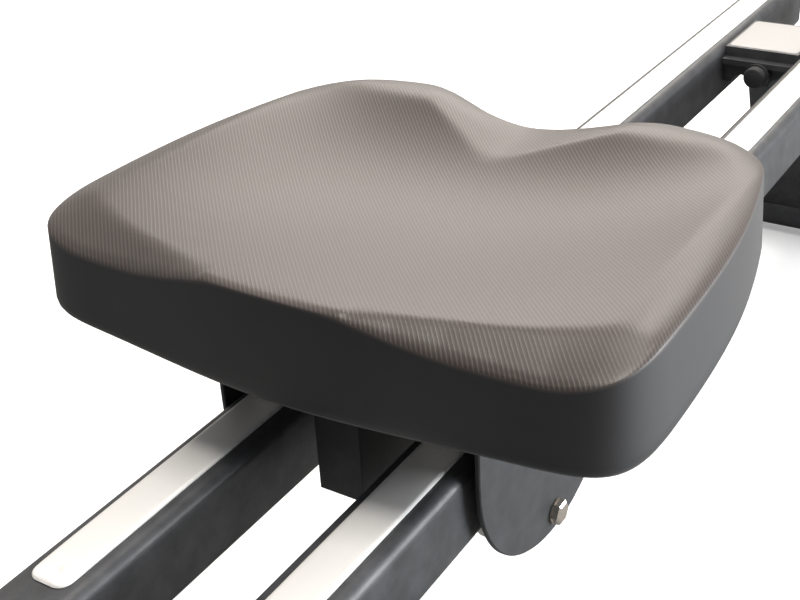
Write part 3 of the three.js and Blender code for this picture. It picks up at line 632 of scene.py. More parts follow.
def swept(rings, looped=False):
    count = len(rings[0])
    points = [p for ring in rings for p in ring]
    faces = []
    for i in range(len(rings) - (0 if looped else 1)):
        j = (i + 1) % len(rings)
        for k in range(count):
            n = (k + 1) % count
            faces.append((i * count + k, i * count + n, j * count + n, j * count + k))
    if not looped:
        faces.append(tuple(range(count)))
        faces.append(tuple((len(rings) - 1) * count + k for k in range(count)))
    return points, faces


def swept_piece(name, rings, finish, body, nodes=(), sharp=35.0):
    """Joins rings given in millimetres and makes the piece."""
    points, faces = swept(rings)
    return piece(name, np.array(points) * MM, faces, finish, body, nodes, sharp=sharp)


# %% [markdown]
# ## The seat
# The seat is the part the rower knows best: a one-piece moulded pad, about 340 mm wide and 290 mm
# long. Its plan is a rounded trapezoid with a notch behind for the tail bone. Seen from above its
# front edge is a smooth curve, and the outline below is that curve as a chain of Bezier pieces, one
# half of it, then mirrored.

# %% Seat outline
SEAT_FRONT, SEAT_REAR, SEAT_HALF = 12.0, -276.0, 173.0
SEAT_CENTRE = (-125.0, 0.0)
F, R, H = SEAT_FRONT, SEAT_REAR, SEAT_HALF
OUTLINE_CURVES = [
    [(F, 0), (F, 40), (F - 7, 80), (F - 12, 127)],
    [(F - 12, 127), (F - 16, 160), (F - 21, H), (F - 64, H)],
    [(F - 64, H), (F - 150, H), (R + 95, 165), (R + 47, 153)],
    [(R + 47, 153), (R + 14, 145), (R + 1, 122), (R + 2, 78)],
    [(R + 2, 78), (R + 5, 45), (R + 22, 34), (R + 22, 0)]]


def bezier(corners, steps):
    a, b, c, d = (np.array(corner, float) for corner in corners)
    t = np.linspace(0.0, 1.0, steps, endpoint=False)[:, None]
    return a * (1 - t) ** 3 + 3 * b * t * (1 - t) ** 2 + 3 * c * t ** 2 * (1 - t) + d * t ** 3


def even_spacing(points, count):
    """The same line, as points at equal distances. Returns them and their distances."""
    walked = np.concatenate([[0.0], np.cumsum(np.hypot(*np.diff(points, axis=0).T))])
    wanted = np.linspace(0.0, walked[-1], count)
    return np.stack([np.interp(wanted, walked, points[:, k]) for k in (0, 1)], axis=1), wanted


half_line = np.concatenate([*(bezier(c, 60) for c in OUTLINE_CURVES), [(R + 22, 0.0)]])
half_line, half_walked = even_spacing(half_line, 331)
outline = np.concatenate([half_line, (half_line[1:-1] * (1, -1))[::-1]])
print(f"seat outline: {len(outline)} points, {half_walked[-1] * 2:.0f} mm round")

# %% [markdown]
# The top is a saddle. A centre line gives the height from front to back, the sides rise to a crest,
# two flat facets fall away towards the thighs, and a V runs into the rear notch. Taking the lowest of
# these three surfaces gives the creases between them; a soft minimum rounds each crease by about a
# millimetre, as a mould does. The bowl is held to the height of the crest in the same way.

# %% Seat top as a height field
FRONT_CREST, REAR_CREST = 404.0, 401.0
CREST_FROM, CREST_TO = 110.0, 245.0
BOWL_REACH, BOWL_POWER, BOWL_CAP = 150.0, 2.6, 0.8
CREASE_AT, CREASE_SLANT = 40.0, 0.362
FACET_AT = (36.0, 45.0, 62.0, 85.0, 110.0, 133.0, 156.0, 172.0)
FACET_FALL = (0.0, 0.2, 0.46, 0.56, 0.52, 0.45, 0.32, 0.2)
VEE_FLOOR, VEE_RISE, VEE_REACH = 390.0, 13.0, 68.0
NOTCH_FROM, NOTCH_SLOPE = 197.0, 0.5
CENTRE_LINE = np.array(
    [(5, 405), (-30, 399), (-80, 391), (-140, 385.6), (-192, 388.4), (-240, 402)], float)
centre_height = np.poly1d(np.polyfit(CENTRE_LINE[:, 0], CENTRE_LINE[:, 1], 4))


def soft_minimum(first, second, softness):
    low = np.minimum(first, second)
    high = np.maximum(first, second)
    return low - softness * np.log1p(np.exp(-(high - low) / softness))


def step_between(value, low, high):
    t = np.clip((value - low) / (high - low), 0.0, 1.0)
    return t * t * (3 - 2 * t)


def seat_top(x, y):
    side = np.abs(y)
    crest = FRONT_CREST + (REAR_CREST - FRONT_CREST) * step_between(-x, CREST_FROM, CREST_TO)
    valley = centre_height(np.clip(x, -262.0, 12.0))
    bowl = valley + (crest - valley) * np.minimum(1.0, side / BOWL_REACH) ** BOWL_POWER
    bowl = soft_minimum(bowl, crest + BOWL_CAP, BOWL_CAP)
    crease_x = -(side - CREASE_AT) * CREASE_SLANT
    fall = np.interp(side, FACET_AT, FACET_FALL)
    facet = FRONT_CREST - fall * (x - crease_x) + 30.0 * (1.0 - step_between(side, 20.0, 42.0))
    vee = VEE_FLOOR + VEE_RISE * (np.sqrt((side / VEE_REACH) ** 2 + 0.04) - 0.2) / 0.82
    notch = vee + NOTCH_SLOPE * np.maximum(0.0, x + NOTCH_FROM)
    return soft_minimum(soft_minimum(bowl, facet, 0.7), notch, 0.5)


print("height at the middle of the seat:", round(float(seat_top(*map(np.array, SEAT_CENTRE))), 1), "mm")

# %% [markdown]
# The rim turns down to the line where the knurl stops, in a curve that is mostly a quarter of an
# ellipse and partly a straight slope. That line isn't level: it dips under the two front facets,
# rises along the sides and dips again in the notch. A few heights along the outline say where it is,
# and the rim takes up whatever lies between it and the top.

# %% Seat rim
RIM_HEIGHTS = [
    (12, 0, 403.3), (10, 33, 402.5), (8, 45, 400.0), (5, 65, 395.0), (2, 89, 390.5), (0, 112, 388.3),
    (-2, 133, 387.5), (-5, 145, 388.5), (-9, 156, 391.5), (-14, 163, 394.0), (-28, 170, 396.5),
    (-62, 173, 397.5),
    (-100, 172, 397.5), (-225, 154, 397.0), (-258, 136, 393.0), (-272, 110, 394.5), (-274, 78, 396.5),
    (-268, 45, 392.5), (-254, 0, 389.0)]
stations = [half_walked[np.argmin(np.hypot(*(half_line - (x, y)).T))] for x, y, _ in RIM_HEIGHTS]
rim_half = np.interp(half_walked, stations, [z for _, _, z in RIM_HEIGHTS])
smoothing = np.hanning(17) / np.hanning(17).sum()
rim_half = np.convolve(np.pad(rim_half, 8, mode="reflect"), smoothing, mode="valid")
rim_z = np.concatenate([rim_half, rim_half[1:-1][::-1]])
RIM_WIDTHS = np.interp(outline[:, 0], [-235.0, -205.0, -24.0, -4.0], [20.0, 17.0, 17.0, 5.0])

# %% [markdown]
# The mesh is a set of rings, like the layers of an onion: the wall from the bottom up, the rim in
# fine steps, then wider and wider steps to the middle. Rings keep the edge loops parallel to the rim,
# so the highlight along it stays smooth.

# %% Build the seat
WALL_LEAN = 2.5
SEAT_BOTTOM, WALL_FOOT = 346.0, 353.0
FINE_REACH = 21.0
outward = np.roll(outline, -1, axis=0) - np.roll(outline, 1, axis=0)
outward = np.stack([outward[:, 1], -outward[:, 0]], axis=1) / np.hypot(*outward.T)[:, None]
outward *= np.sign(((outline - SEAT_CENTRE) * outward).sum(axis=1))[:, None]
rim_line = outline - WALL_LEAN * outward


def nearest_rim(points):
    """How far each point lies inside the rim line, and which rim point is nearest."""
    gaps = np.sqrt(((points[:, None, :] - rim_line[None, :, :]) ** 2).sum(axis=2))
    return gaps.min(axis=1), gaps.argmin(axis=1)


def rim_drop(distance, width, depth):
    t = np.clip(1.0 - distance / width, 0.0, 1.0)
    return depth * (0.2 * t + 0.8 * (1.0 - np.sqrt(np.clip(1.0 - t * t, 0.0, 1.0))))


count = len(outline)
rim_depth = seat_top(rim_line[:, 0], rim_line[:, 1]) - rim_z
rings, knurl_rings = [], []
for inset, z in [
        (9.0, SEAT_BOTTOM), (5.0, SEAT_BOTTOM), (2.0, 347.0), (0.6, 349.5), (0.0, WALL_FOOT)]:
    rings.append(np.column_stack([outline - inset * outward, np.full(count, z)]))
    knurl_rings.append(np.zeros(count))
for t in np.linspace(0.12, 0.97, 8):
    wall_z = WALL_FOOT + (rim_z - WALL_FOOT) * t
    rings.append(np.column_stack([outline - WALL_LEAN * t * outward, wall_z]))
    knurl_rings.append(np.zeros(count))
reach = np.hypot(*(rim_line - SEAT_CENTRE).T)
near_rim = [0.0, 0.15, 0.4, 0.8, 1.4, 2.2, 3.2, 4.5, 6.0, 8.0, 10.5, 13.5, 17.0, FINE_REACH]
shares = [d / reach for d in near_rim]
shares += [FINE_REACH / reach + (1.0 - FINE_REACH / reach) * t for t in np.linspace(0.02, 0.985, 52)]
for share in shares:
    flat = rim_line + (np.array(SEAT_CENTRE) - rim_line) * share[:, None]
    distance, nearest = nearest_rim(flat)
    z = seat_top(flat[:, 0], flat[:, 1]) - rim_drop(distance, RIM_WIDTHS[nearest], rim_depth[nearest])
    rings.append(np.column_stack([flat, z]))
    knurl_rings.append(np.full(count, 1.0) if distance.max() > 0.3 else np.full(count, 0.35))

seat = swept_piece("seat_cushion", rings, "seat_skin", "seat", ["seat_pad"], sharp=None)
mask = seat.data.attributes.new("knurl", "FLOAT", "POINT")
mask.data.foreach_set("value", np.concatenate(knurl_rings).astype(np.float32))
print("seat:", len(seat.data.vertices), "vertices")

# %% [markdown]
# Under the cushion sits a moulded base pan that the carriage bolts to. It hardly shows, so the CAD
# shape with a round edge is enough.

# %% Seat base
refine("seat_base", "moulded_black", 1.5, 3)

# %% [markdown]
# ## Rails and running strips
# Each rail is a 40 by 50 mm steel tube with generous corners. A tube is a section swept along X,
# outside and inside, with a real wall thickness at the open ends. The corners get eight steps each,
# because the long soft highlight along them is what tells the eye that this is drawn tube and not a
# bar.

# %% Rails
RAIL_SIZE, RAIL_CORNER, RAIL_WALL, RAIL_Y = (40.0, 50.0), 8.0, 2.0, 53.0
TUBE_STEPS, END_EDGE = 8, 0.4


def tube_along_x(at, size, corner, wall, start, end):
    """Points and faces of a hollow tube along X, in metres."""
    y_mid, z_mid = at
    rings = []
    inner_size = (size[0] - 2 * wall, size[1] - 2 * wall)
    outer = rounded_section(*size, corner, TUBE_STEPS)
    inner = rounded_section(*inner_size, max(corner - wall, 1.0), TUBE_STEPS)
    for section, place, inset in [
            (outer, start, END_EDGE), (outer, start + END_EDGE, 0.0),
            (outer, end - END_EDGE, 0.0), (outer, end, END_EDGE),
            (inner, end, 0.0), (inner, start, 0.0)]:
        shrink = 1.0 - 2 * inset / size[0]
        rings.append([(place, a * shrink + y_mid, b * shrink + z_mid) for a, b in section])
    points, faces = swept(rings, looped=True)
    return np.array(points) * MM, faces


for side, sign in SIDES:
    low, high = (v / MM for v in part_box(f"rail_{side}"))
    at = (sign * RAIL_Y, (low.z + high.z) / 2)
    points, faces = tube_along_x(at, RAIL_SIZE, RAIL_CORNER, RAIL_WALL, low.x, high.x)
    rail = piece(
        f"rail_tube_{side}", points, faces, "black_powder", "frame", [f"rail_{side}"], sharp=50.0)
    refine(f"rear_end_cap_{side}", "moulded_black", 1.2, 3)
    print(rail.name, "length", round(high.x - low.x), "mm")

# %% [markdown]
# The running strip is a thin stainless band that the rollers run on. It is very slightly domed, its
# ends are rounded, and the front end is pressed down in a shallow wave with a small dimple where a
# rivet holds it from below. A grid of points over the strip lets all three be plain height changes.

# %% Running strips
STRIP_DOME, STRIP_CORNER = 0.35, 7.0
DIMPLE_FROM_END, DIMPLE_DEPTH, DIMPLE_SPREAD = 9.0, 0.9, 1.7
WAVE_DEPTH, WAVE_LENGTH, EDGE_DEPTH, EDGE_LENGTH = 0.55, 9.0, 0.9, 1.4


def strip_half_width(x, low, high, half, corner):
    from_end = min(x - low, high - x)
    if from_end >= corner:
        return half
    return half - corner + math.sqrt(max(0.0, corner ** 2 - (corner - from_end) ** 2))


def end_spacing(low, high):
    fine = [0.0, 0.15, 0.5, 1.1, 2.0, 3.2, 4.6, 5.8, 7.0, 8.0, 9.0, 10.0, 11.0, 12.5, 15.0, 20.0,
            30.0, 45.0, 60.0]
    middle = np.linspace(low + 60.0, high - 60.0, 40)[1:-1]
    return np.concatenate([[low + d for d in fine], middle, [high - d for d in reversed(fine)]])


ACROSS = np.concatenate([[-1.0, -0.985, -0.95], np.linspace(-0.85, 0.85, 13), [0.95, 0.985, 1.0]])
for side, sign in SIDES:
    low, high = (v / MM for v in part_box(f"running_strip_{side}"))
    half, bottom, top_z = (high.y - low.y) / 2, low.z, high.z
    rings = []
    for x in end_spacing(low.x, high.x):
        reach_y = strip_half_width(x, low.x, high.x, half, STRIP_CORNER)
        ripple = 0.6 + 0.4 * math.cos((high.x - x) / WAVE_LENGTH)
        wave_down = WAVE_DEPTH * step_between(x, high.x - 60.0, high.x - 12.0) * ripple
        edge_down = EDGE_DEPTH * (1.0 - step_between(min(x - low.x, high.x - x), 0.0, EDGE_LENGTH))
        ring = []
        for t in ACROSS:
            dome = STRIP_DOME * t * t + 0.8 * step_between(abs(t), 0.93, 1.0)
            hole = math.hypot(high.x - x - DIMPLE_FROM_END, t * reach_y)
            dimple = DIMPLE_DEPTH * math.exp(-(hole / DIMPLE_SPREAD) ** 2)
            z = top_z - dome - wave_down - edge_down - dimple
            ring.append((x, sign * RAIL_Y + t * reach_y, max(z, bottom + 0.3)))
        ring += [(x, sign * RAIL_Y + t * reach_y, bottom) for t in ACROSS[::-1]]
        rings.append(ring)
    strip = swept_piece(
        f"steel_strip_{side}", rings, "satin_steel", "frame", [f"running_strip_{side}"], sharp=50.0)
    print(strip.name, "width", round(high.y - low.y, 1), "mm")

# %% [markdown]
# ## Rear stand and the block between the rails
# A floor bar with a folded leg carries the rear end. The CAD shape is right, so it only needs soft
# edges. The bar is open tube, and each end is closed by a push-in plastic plug.

# %% Stands
for node in ("rear_stand", "front_stand"):
    refine(node, "black_powder", 0.9, 2)

BAR_HALF, BAR_Z, BAR_SIZE, BAR_CORNER = 230.0, 22.0, (40.0, 28.0), 7.0
for end, bar_x in (("rear", -958.0), ("front", 886.0)):
    for side, sign in SIDES:
        rings = []
        for out, shrink in ((-14.0, 0.84), (0.2, 0.84), (0.2, 0.97), (1.8, 0.97), (3.0, 0.90)):
            section = rounded_section(BAR_SIZE[0] * shrink, BAR_SIZE[1] * shrink, BAR_CORNER, 5)
            rings.append([(bar_x + a, sign * (BAR_HALF + out), BAR_Z + b) for a, b in section])
        swept_piece(f"{end}_bar_plug_{side}", rings, "moulded_black", "frame", sharp=40.0)
        refine(f"{end}_foot_pad_{side}", "soft_rubber", 1.5, 3)
print("two stands, four plugs, four foot pads")

# %% [markdown]
# The cross block ties the rails together behind the seat and stops the carriage. Its top plate is a
# lighter grey. In front of its face a rounded ledge and a rubber buffer meet the carriage. The face
# ends in two notches with a round tongue between them. Bent sheet like this is refined from the CAD,
# then gets its top plate and its buffer.

# %% Cross block
PLATE_FRONT_X, PLATE_CORNER = -703.0, 4.0
BUFFER_AT = (-692.5, 0, 276)
refine("rear_cross_block", "black_powder", 1.4, 3)
low, high = (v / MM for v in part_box("rear_cross_block"))
plate_x0, plate_x1, plate_half, plate_z = low.x + 3, PLATE_FRONT_X, high.y - 2.0, high.z
rings = []
for shrink, rise in ((0.0, -0.2), (0.0, 0.2), (0.5, 0.5), (1.6, 0.6)):
    section = rounded_section(plate_x1 - plate_x0 - 2 * shrink, 2 * (plate_half - shrink), PLATE_CORNER, 5)
    rings.append([((plate_x0 + plate_x1) / 2 + a, b, plate_z + rise) for a, b in section])
swept_piece("cross_block_plate", rings, "grey_powder", "frame", sharp=40.0)
buffer = [(0.0, 9.5), (8.0, 9.5), (10.0, 8.6), (11.0, 6.5), (11.3, 0.5)]
turned("stop_buffer", buffer, BUFFER_AT, "x", "soft_rubber", "frame")
print("cross block with a plate", round(plate_x1 - plate_x0), "mm long")

# %% [markdown]
# ## Seat carriage
# The seat rides on a carriage: a plate with a guide channel between the rails, two side plates that
# hang down outside them, and a hold-down roller under each rail so that the seat can't tip off. The
# side plate is a flat half disc with a crisp, slightly rounded edge.

# %% Carriage
CARRIAGE_X = -125.0
SIDE_RADIUS, SIDE_CENTRE_Z, SIDE_EDGE = 84.0, 290.5, 0.6
refine("carriage_frame", "black_powder", 1.0, 3)
for side, sign in SIDES:
    node = f"side_plate_{side}"
    low, high = (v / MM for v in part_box(node))
    arc = np.linspace(math.pi, 2 * math.pi, 73)
    rim = [(CARRIAGE_X + SIDE_RADIUS, high.z), (CARRIAGE_X - SIDE_RADIUS, high.z)]
    rim += [
        (CARRIAGE_X + SIDE_RADIUS * math.cos(a), SIDE_CENTRE_Z + SIDE_RADIUS * math.sin(a)) for a in arc]
    rings = []
    for y, shrink in (
            (low.y, SIDE_EDGE), (low.y + SIDE_EDGE, 0.0), (high.y - SIDE_EDGE, 0.0), (high.y, SIDE_EDGE)):
        rings.append([
            (x + (CARRIAGE_X - x) * shrink / SIDE_RADIUS, y, z + (SIDE_CENTRE_Z - z) * shrink / SIDE_RADIUS)
            for x, z in rim])
    swept_piece(f"carriage_side_{side}", rings, "black_powder", "seat", [node], sharp=25.0)
print("carriage sides are", round(2 * SIDE_RADIUS), "mm long")

# %% [markdown]
# The hold-down bolt shows its head on each side plate: a hexagon head with a chamfer and a washer, in
# warm plated steel. Behind the plate its shank carries a nylon roller that runs under the rail.
# Rollers are turned parts with a crowned tyre, a recessed web and a bearing.

# %% Bolts, axles and rollers
HOLD_DOWN_Z, BOLT_RADIUS, BOLT_FLATS, HEAD_CHAMFER = 219.0, 4.0, 13.0, 0.9
SIDE_OUTER_Y, NUT_Y = 78.2 + 3.0, 42.0
AXLES, AXLE_Z, AXLE_RADIUS = (("front", -63.0), ("rear", -187.0)), 316.3, 4.0
HOLD_DOWN_SIZE, TOP_ROLLER_SIZE = (27.5, 20.0), (16.0, 22.0)


def hex_head(name, at, axis, direction, flats, height, finish, body, nodes=()):
    """A hexagon head with a washer face, chamfered as a turned bolt is."""
    def six(angle):
        return 1.0 / max(math.cos((angle % (math.pi / 3)) - math.pi / 6), 0.1)

    face = 1.15 * flats / 2
    washer = [(0.0, 0.5), (0.0, face), (direction * 0.9, face), (direction * 1.0, 0.5)]
    turned(f"{name}_washer", washer, at, axis, finish, body)
    head = [
        (direction * 1.0, flats / 2), (direction * (height - HEAD_CHAMFER), flats / 2),
        (direction * height, flats / 2.5)]
    turned(name, head, at, axis, finish, body, nodes, squeeze=six, sharp=20.0)


for side, sign in SIDES:
    name = f"hold_down_bolt_{side}"
    head_at = (CARRIAGE_X, sign * (SIDE_OUTER_Y + 0.3), HOLD_DOWN_Z)
    hex_head(f"{name}_head", head_at, "y", sign, BOLT_FLATS, 5.2, "plated_steel", "seat", [name])
    shank = [
        (sign * 36.5, 3.4), (sign * 37.0, BOLT_RADIUS), (sign * (SIDE_OUTER_Y + 0.2), BOLT_RADIUS)]
    turned(f"{name}_shank", shank, (CARRIAGE_X, 0.0, HOLD_DOWN_Z), "y", "plated_steel", "seat")
    nut_at = (CARRIAGE_X, sign * NUT_Y, HOLD_DOWN_Z)
    hex_head(f"{name}_nut", nut_at, "y", -sign, BOLT_FLATS, 5.0, "plated_steel", "seat")


def roller(name, x, y, z, radius, width, bore, node):
    """A crowned nylon tyre with a web on each side, and the steel bearing in its middle."""
    h = width / 2
    tyre = [(-h, radius * 0.9), (-h + 1.2, radius * 0.985), (-h / 2, radius), (h / 2, radius),
            (h - 1.2, radius * 0.985), (h, radius * 0.9), (h, radius * 0.74),
            (h - 2.5, radius * 0.7), (h - 2.5, radius * 0.5), (h - 0.4, radius * 0.47),
            (h - 0.4, bore + 2.0), (-h + 0.4, bore + 2.0), (-h + 0.4, radius * 0.47),
            (-h + 2.5, radius * 0.5), (-h + 2.5, radius * 0.7), (-h, radius * 0.74)]
    body = BODY_OF[node]
    turned(name, ring_profile(tyre), (x, y, z), "y", "white_nylon", body, [node])
    bearing = [(-h + 0.2, bore + 1.9), (h - 0.2, bore + 1.9), (h - 0.2, bore + 0.3), (-h + 0.2, bore + 0.3)]
    turned(f"{name}_bearing", ring_profile(bearing), (x, y, z), "y", "plated_steel", body, steps=48)


for side, sign in SIDES:
    wheel_y = sign * RAIL_Y
    roller(f"hold_down_wheel_{side}", CARRIAGE_X, wheel_y, HOLD_DOWN_Z, *HOLD_DOWN_SIZE, BOLT_RADIUS,
           f"hold_down_roller_{side}")
    for end, axle_x in AXLES:
        roller(f"{end}_wheel_{side}", axle_x, wheel_y, AXLE_Z, *TOP_ROLLER_SIZE, AXLE_RADIUS,
               f"{end}_roller_{side}")
for end, axle_x in AXLES:
    profile = [(-77.9, 3.3), (-77.2, AXLE_RADIUS), (77.2, AXLE_RADIUS), (77.9, 3.3)]
    turned(f"{end}_axle_rod", profile, (axle_x, 0, AXLE_Z), "y", "plated_steel", "seat", [f"{end}_axle"])

# %% [markdown]
# ## Water tank
# The tank gives the stroke its load: blades turn in water. Bowl and lid are two clear shells with
# flanges, bolted together all round. They are turned shapes with a real wall thickness, so that light
# bends through them as it should. The water is a turned body of its own with a slightly raised edge
# where it clings to the wall.

# %% Tank shells and water
TANK_X, TANK_RADIUS, TANK_WALL, FLANGE = 640.0, 222.0, 4.0, 240.0
TANK_FLOOR, TANK_RIM, WATER_TOP, SHAFT_RADIUS = 304.0, 466.0, 400.0, 8.0
TANK_STEPS, CORNER_STEPS = 128, 3


def eased(points, radius):
    """Rounds the corners of an open profile of (along, radius) points."""
    soft = [points[0]]
    for before, corner, after in zip(points, points[1:], points[2:]):
        before, corner, after = (np.array(p, float) for p in (before, corner, after))
        to_before, to_after = before - corner, after - corner
        cut = min(radius, np.linalg.norm(to_before) / 2.2, np.linalg.norm(to_after) / 2.2)
        start = corner + to_before / np.linalg.norm(to_before) * cut
        end = corner + to_after / np.linalg.norm(to_after) * cut
        for t in np.linspace(0.0, 1.0, CORNER_STEPS + 1):
            soft.append(tuple(start * (1 - t) ** 2 + 2 * corner * t * (1 - t) + end * t ** 2))
    return [*soft, points[-1]]


inner = TANK_RADIUS - TANK_WALL
bowl = [(TANK_FLOOR, 0.5), (TANK_FLOOR, TANK_RADIUS - 30), (TANK_FLOOR + 10, TANK_RADIUS - 8),
        (TANK_FLOOR + 30, TANK_RADIUS), (TANK_RIM - 5, TANK_RADIUS),
        (TANK_RIM - 5, FLANGE), (TANK_RIM, FLANGE), (TANK_RIM, inner), (TANK_FLOOR + 32, inner),
        (TANK_FLOOR + 14, inner - 8), (TANK_FLOOR + 4, inner - 28), (TANK_FLOOR + 4, 0.5)]
tank_at = (TANK_X, 0, 0)
turned("tank_shell", eased(bowl, 5.0), tank_at, "z", "clear_shell", "frame", ["tank_bowl"], steps=TANK_STEPS)

lid = [(TANK_RIM + 0.3, SHAFT_RADIUS + 3), (TANK_RIM + 0.3, FLANGE), (TANK_RIM + 5, FLANGE),
       (TANK_RIM + 5, TANK_RADIUS + 4), (TANK_RIM + 12, TANK_RADIUS - 20), (TANK_RIM + 17, 60),
       (TANK_RIM + 22, 26), (TANK_RIM + 22, SHAFT_RADIUS + 3)]
turned("tank_cap", ring_profile(eased(lid, 4.0)), tank_at, "z", "clear_shell", "frame", ["tank_lid"],
       steps=TANK_STEPS)

fluid = [(TANK_FLOOR + 4.4, 0.5), (TANK_FLOOR + 4.4, inner - 31), (TANK_FLOOR + 16, inner - 9.5),
         (TANK_FLOOR + 33, inner - 0.9), (WATER_TOP, inner - 0.9), (WATER_TOP - 1.2, inner - 4.0),
         (WATER_TOP - 1.5, inner - 9.0), (WATER_TOP - 1.5, 0.5)]
turned("tank_fluid", fluid, tank_at, "z", "tank_water", "frame", ["water"], steps=TANK_STEPS)

SCREW_COUNT, SCREW_RING = 16, 232.5


def screw_head(name, at, axis, direction, radius, finish, body):
    """A button head with a hexagon socket, drawn as a shallow dish."""
    dish = [(0.0, 1.0), (0.25, 0.96), (0.5, 0.72), (0.58, 0.5), (0.2, 0.42)]
    profile = [(direction * radius * along, radius * out) for along, out in dish]
    profile.append((direction * radius * 0.2, 0.05))
    turned(name, profile, at, axis, finish, body, steps=36)


for k in range(SCREW_COUNT):
    angle = (k + 0.5) * 2 * math.pi / SCREW_COUNT
    at = (TANK_X + SCREW_RING * math.cos(angle), SCREW_RING * math.sin(angle), TANK_RIM + 5.2)
    screw_head(f"flange_screw_{k + 1}", at, "z", 1, 4.5, "plated_steel", "frame")
print("tank with", SCREW_COUNT, "screws")

# %% [markdown]
# Inside turns the impeller on its shaft. Its six blades and hub, the cradle under the tank, the
# bridge beam over it and the drum that the belt winds on are plain engineered shapes, refined from
# the CAD with edges to suit.

# %% Tank parts, bridge and drum
for node, finish, width in (
        ("impeller", "moulded_black", 1.0), ("drive_shaft", "plated_steel", 0.5),
        ("tank_cradle", "black_powder", 1.2), ("bridge_beam", "black_powder", 1.0),
        ("front_post", "black_powder", 1.2), ("drum_bracket", "black_powder", 0.8),
        ("belt_drum", "moulded_black", 0.6), ("stretcher_bracket", "black_powder", 1.2)):
    refine(node, finish, width)
cap_at = [(c / MM) for c in (sum(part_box("fill_plug"), Vector()) / 2)]
plug = [(-8.0, 0.5), (-8.0, 14.3), (6.5, 14.3), (6.5, 21.5), (9.0, 22.0), (13.5, 21.0), (14.5, 19.0),
        (13.2, 15.0), (13.0, 0.5)]
turned("fill_cap", plug, (cap_at[0], cap_at[1], TANK_RIM + 11.5), "z", "soft_rubber", "frame", ["fill_plug"],
       squeeze=lambda a: 1.0 + 0.02 * math.cos(18 * a))
print("fill cap at x", round(cap_at[0]), "mm")

# %% [markdown]
# ## Deck cover
# A moulded cover hides the drum and the belt and holds the handle when nobody rows. The CAD section
# has the right arch; two rows of screws and a parting line along its foot make it a real moulding.

# %% Deck cover
refine("deck_cover", "moulded_black", 1.6, 3)
COVER_HALF, COVER_SCREW_Z, PARTING_Z = 62.0, 512.0, 524.0
for side, sign in SIDES:
    for k, x in enumerate((440.0, 560.0, 720.0, 880.0)):
        at = (x, sign * (COVER_HALF - 0.3), COVER_SCREW_Z)
        screw_head(f"cover_screw_{side}_{k + 1}", at, "y", sign, 3.6, "plated_steel", "frame")
    line_y, section = sign * (COVER_HALF + 0.25), rounded_section(0.9, 1.6, 0.4, 3)
    rings = [[(x, line_y + a, PARTING_Z + b) for a, b in section] for x in (430.0, 890.0)]
    swept_piece(f"cover_parting_line_{side}", rings, "moulded_black", "frame")
print("deck cover with its screws")

# %% [markdown]
# ## Handle and belt
# The handle is a steel bar with a foam-rubber grip on each half. Each grip is turned: it swells a
# little in the palm, has finger-wide grooves and a collar at its inner end. The belt is a woven band
# that leaves the clamp and runs under the cover.

# %% Handle
HANDLE_AT = (382.0, 0, 588.5)
GROOVE_COUNT, GROOVE_PITCH, GROOVES_FROM = 56, 3.2, 71.0
rod = [(-249.0, 8.0), (-248.0, 9.0), (248.0, 9.0), (249.0, 8.0)]
turned("handle_rod", rod, HANDLE_AT, "y", "plated_steel", "handle", ["handle_bar"])
for side, sign in SIDES:
    profile = [(62.0, 9.4), (62.0, 13.6), (63.0, 14.8), (68.0, 15.0), (70.0, 14.4)]
    for k in range(GROOVE_COUNT):
        y = GROOVES_FROM + k * GROOVE_PITCH
        swell = 0.55 * math.sin(math.pi * (y - 70.0) / 182.0)
        profile += [
            (y + d, r + swell) for d, r in ((0.0, 13.6), (0.8, 14.2), (1.8, 14.2), (2.6, 13.6))]
    profile += [(251.0, 14.6), (253.0, 14.0), (254.0, 12.0), (254.0, 0.5)]
    profile = [(sign * y, r) for y, r in profile]
    turned(f"grip_{side}", profile, HANDLE_AT, "y", "soft_rubber", "handle", [f"handle_grip_{side}"],
           sharp=40.0)
refine("handle_clamp", "moulded_black", 1.0, 3)


BAND_SECTION = (
    (-0.5, 0.2), (-0.48, 0.5), (-0.25, 0.5), (0.0, 0.5), (0.25, 0.5), (0.48, 0.5), (0.5, 0.2),
    (0.5, -0.2), (0.48, -0.5), (0.0, -0.5), (-0.48, -0.5), (-0.5, -0.2))


def woven_strap(name, path, across, width, thick, body, nodes=()):
    """A flat band along a path of (point, face direction), with a UV map in metres."""
    rings, lengths = [], [0.0]
    for k, (at, face) in enumerate(path):
        at, face, sideways = Vector(at), Vector(face).normalized(), Vector(across)
        ring = []
        for share, lift in BAND_SECTION:
            ring.append(tuple((at + sideways * width * share + face * thick * lift) * MM))
        rings.append(ring)
        if k:
            lengths.append(lengths[-1] + (at - Vector(path[k - 1][0])).length)
    points, faces = swept(rings)
    made = piece(name, points, faces, "woven_band", body, nodes, sharp=60.0)
    start, side_axis = Vector(path[0][0]) * MM, Vector(across)
    line = np.array([tuple(Vector(p[0]) * MM) for p in path])
    layer = made.data.uv_layers.new(name="band")
    for loop in made.data.loops:
        spot = made.data.vertices[loop.vertex_index].co
        nearest = int(np.argmin(((line - np.array(spot)) ** 2).sum(axis=1)))
        along = lengths[nearest] * MM
        if 0 < nearest < len(line) - 1:
            forward = Vector(line[nearest + 1] - line[nearest - 1]).normalized()
            along += (spot - Vector(line[nearest])).dot(forward)
        layer.data[loop.index].uv = (along, (spot - start).dot(side_axis))


low, high = (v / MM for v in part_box("pull_belt"))
path = [((x, 0.0, (low.z + high.z) / 2), (0, 0, 1)) for x in np.linspace(low.x, high.x, 60)]
woven_strap("belt_band", path, (0, 1, 0), high.y - low.y, high.z - low.z, "handle", ["pull_belt"])
print("belt length", round(high.x - low.x), "mm")

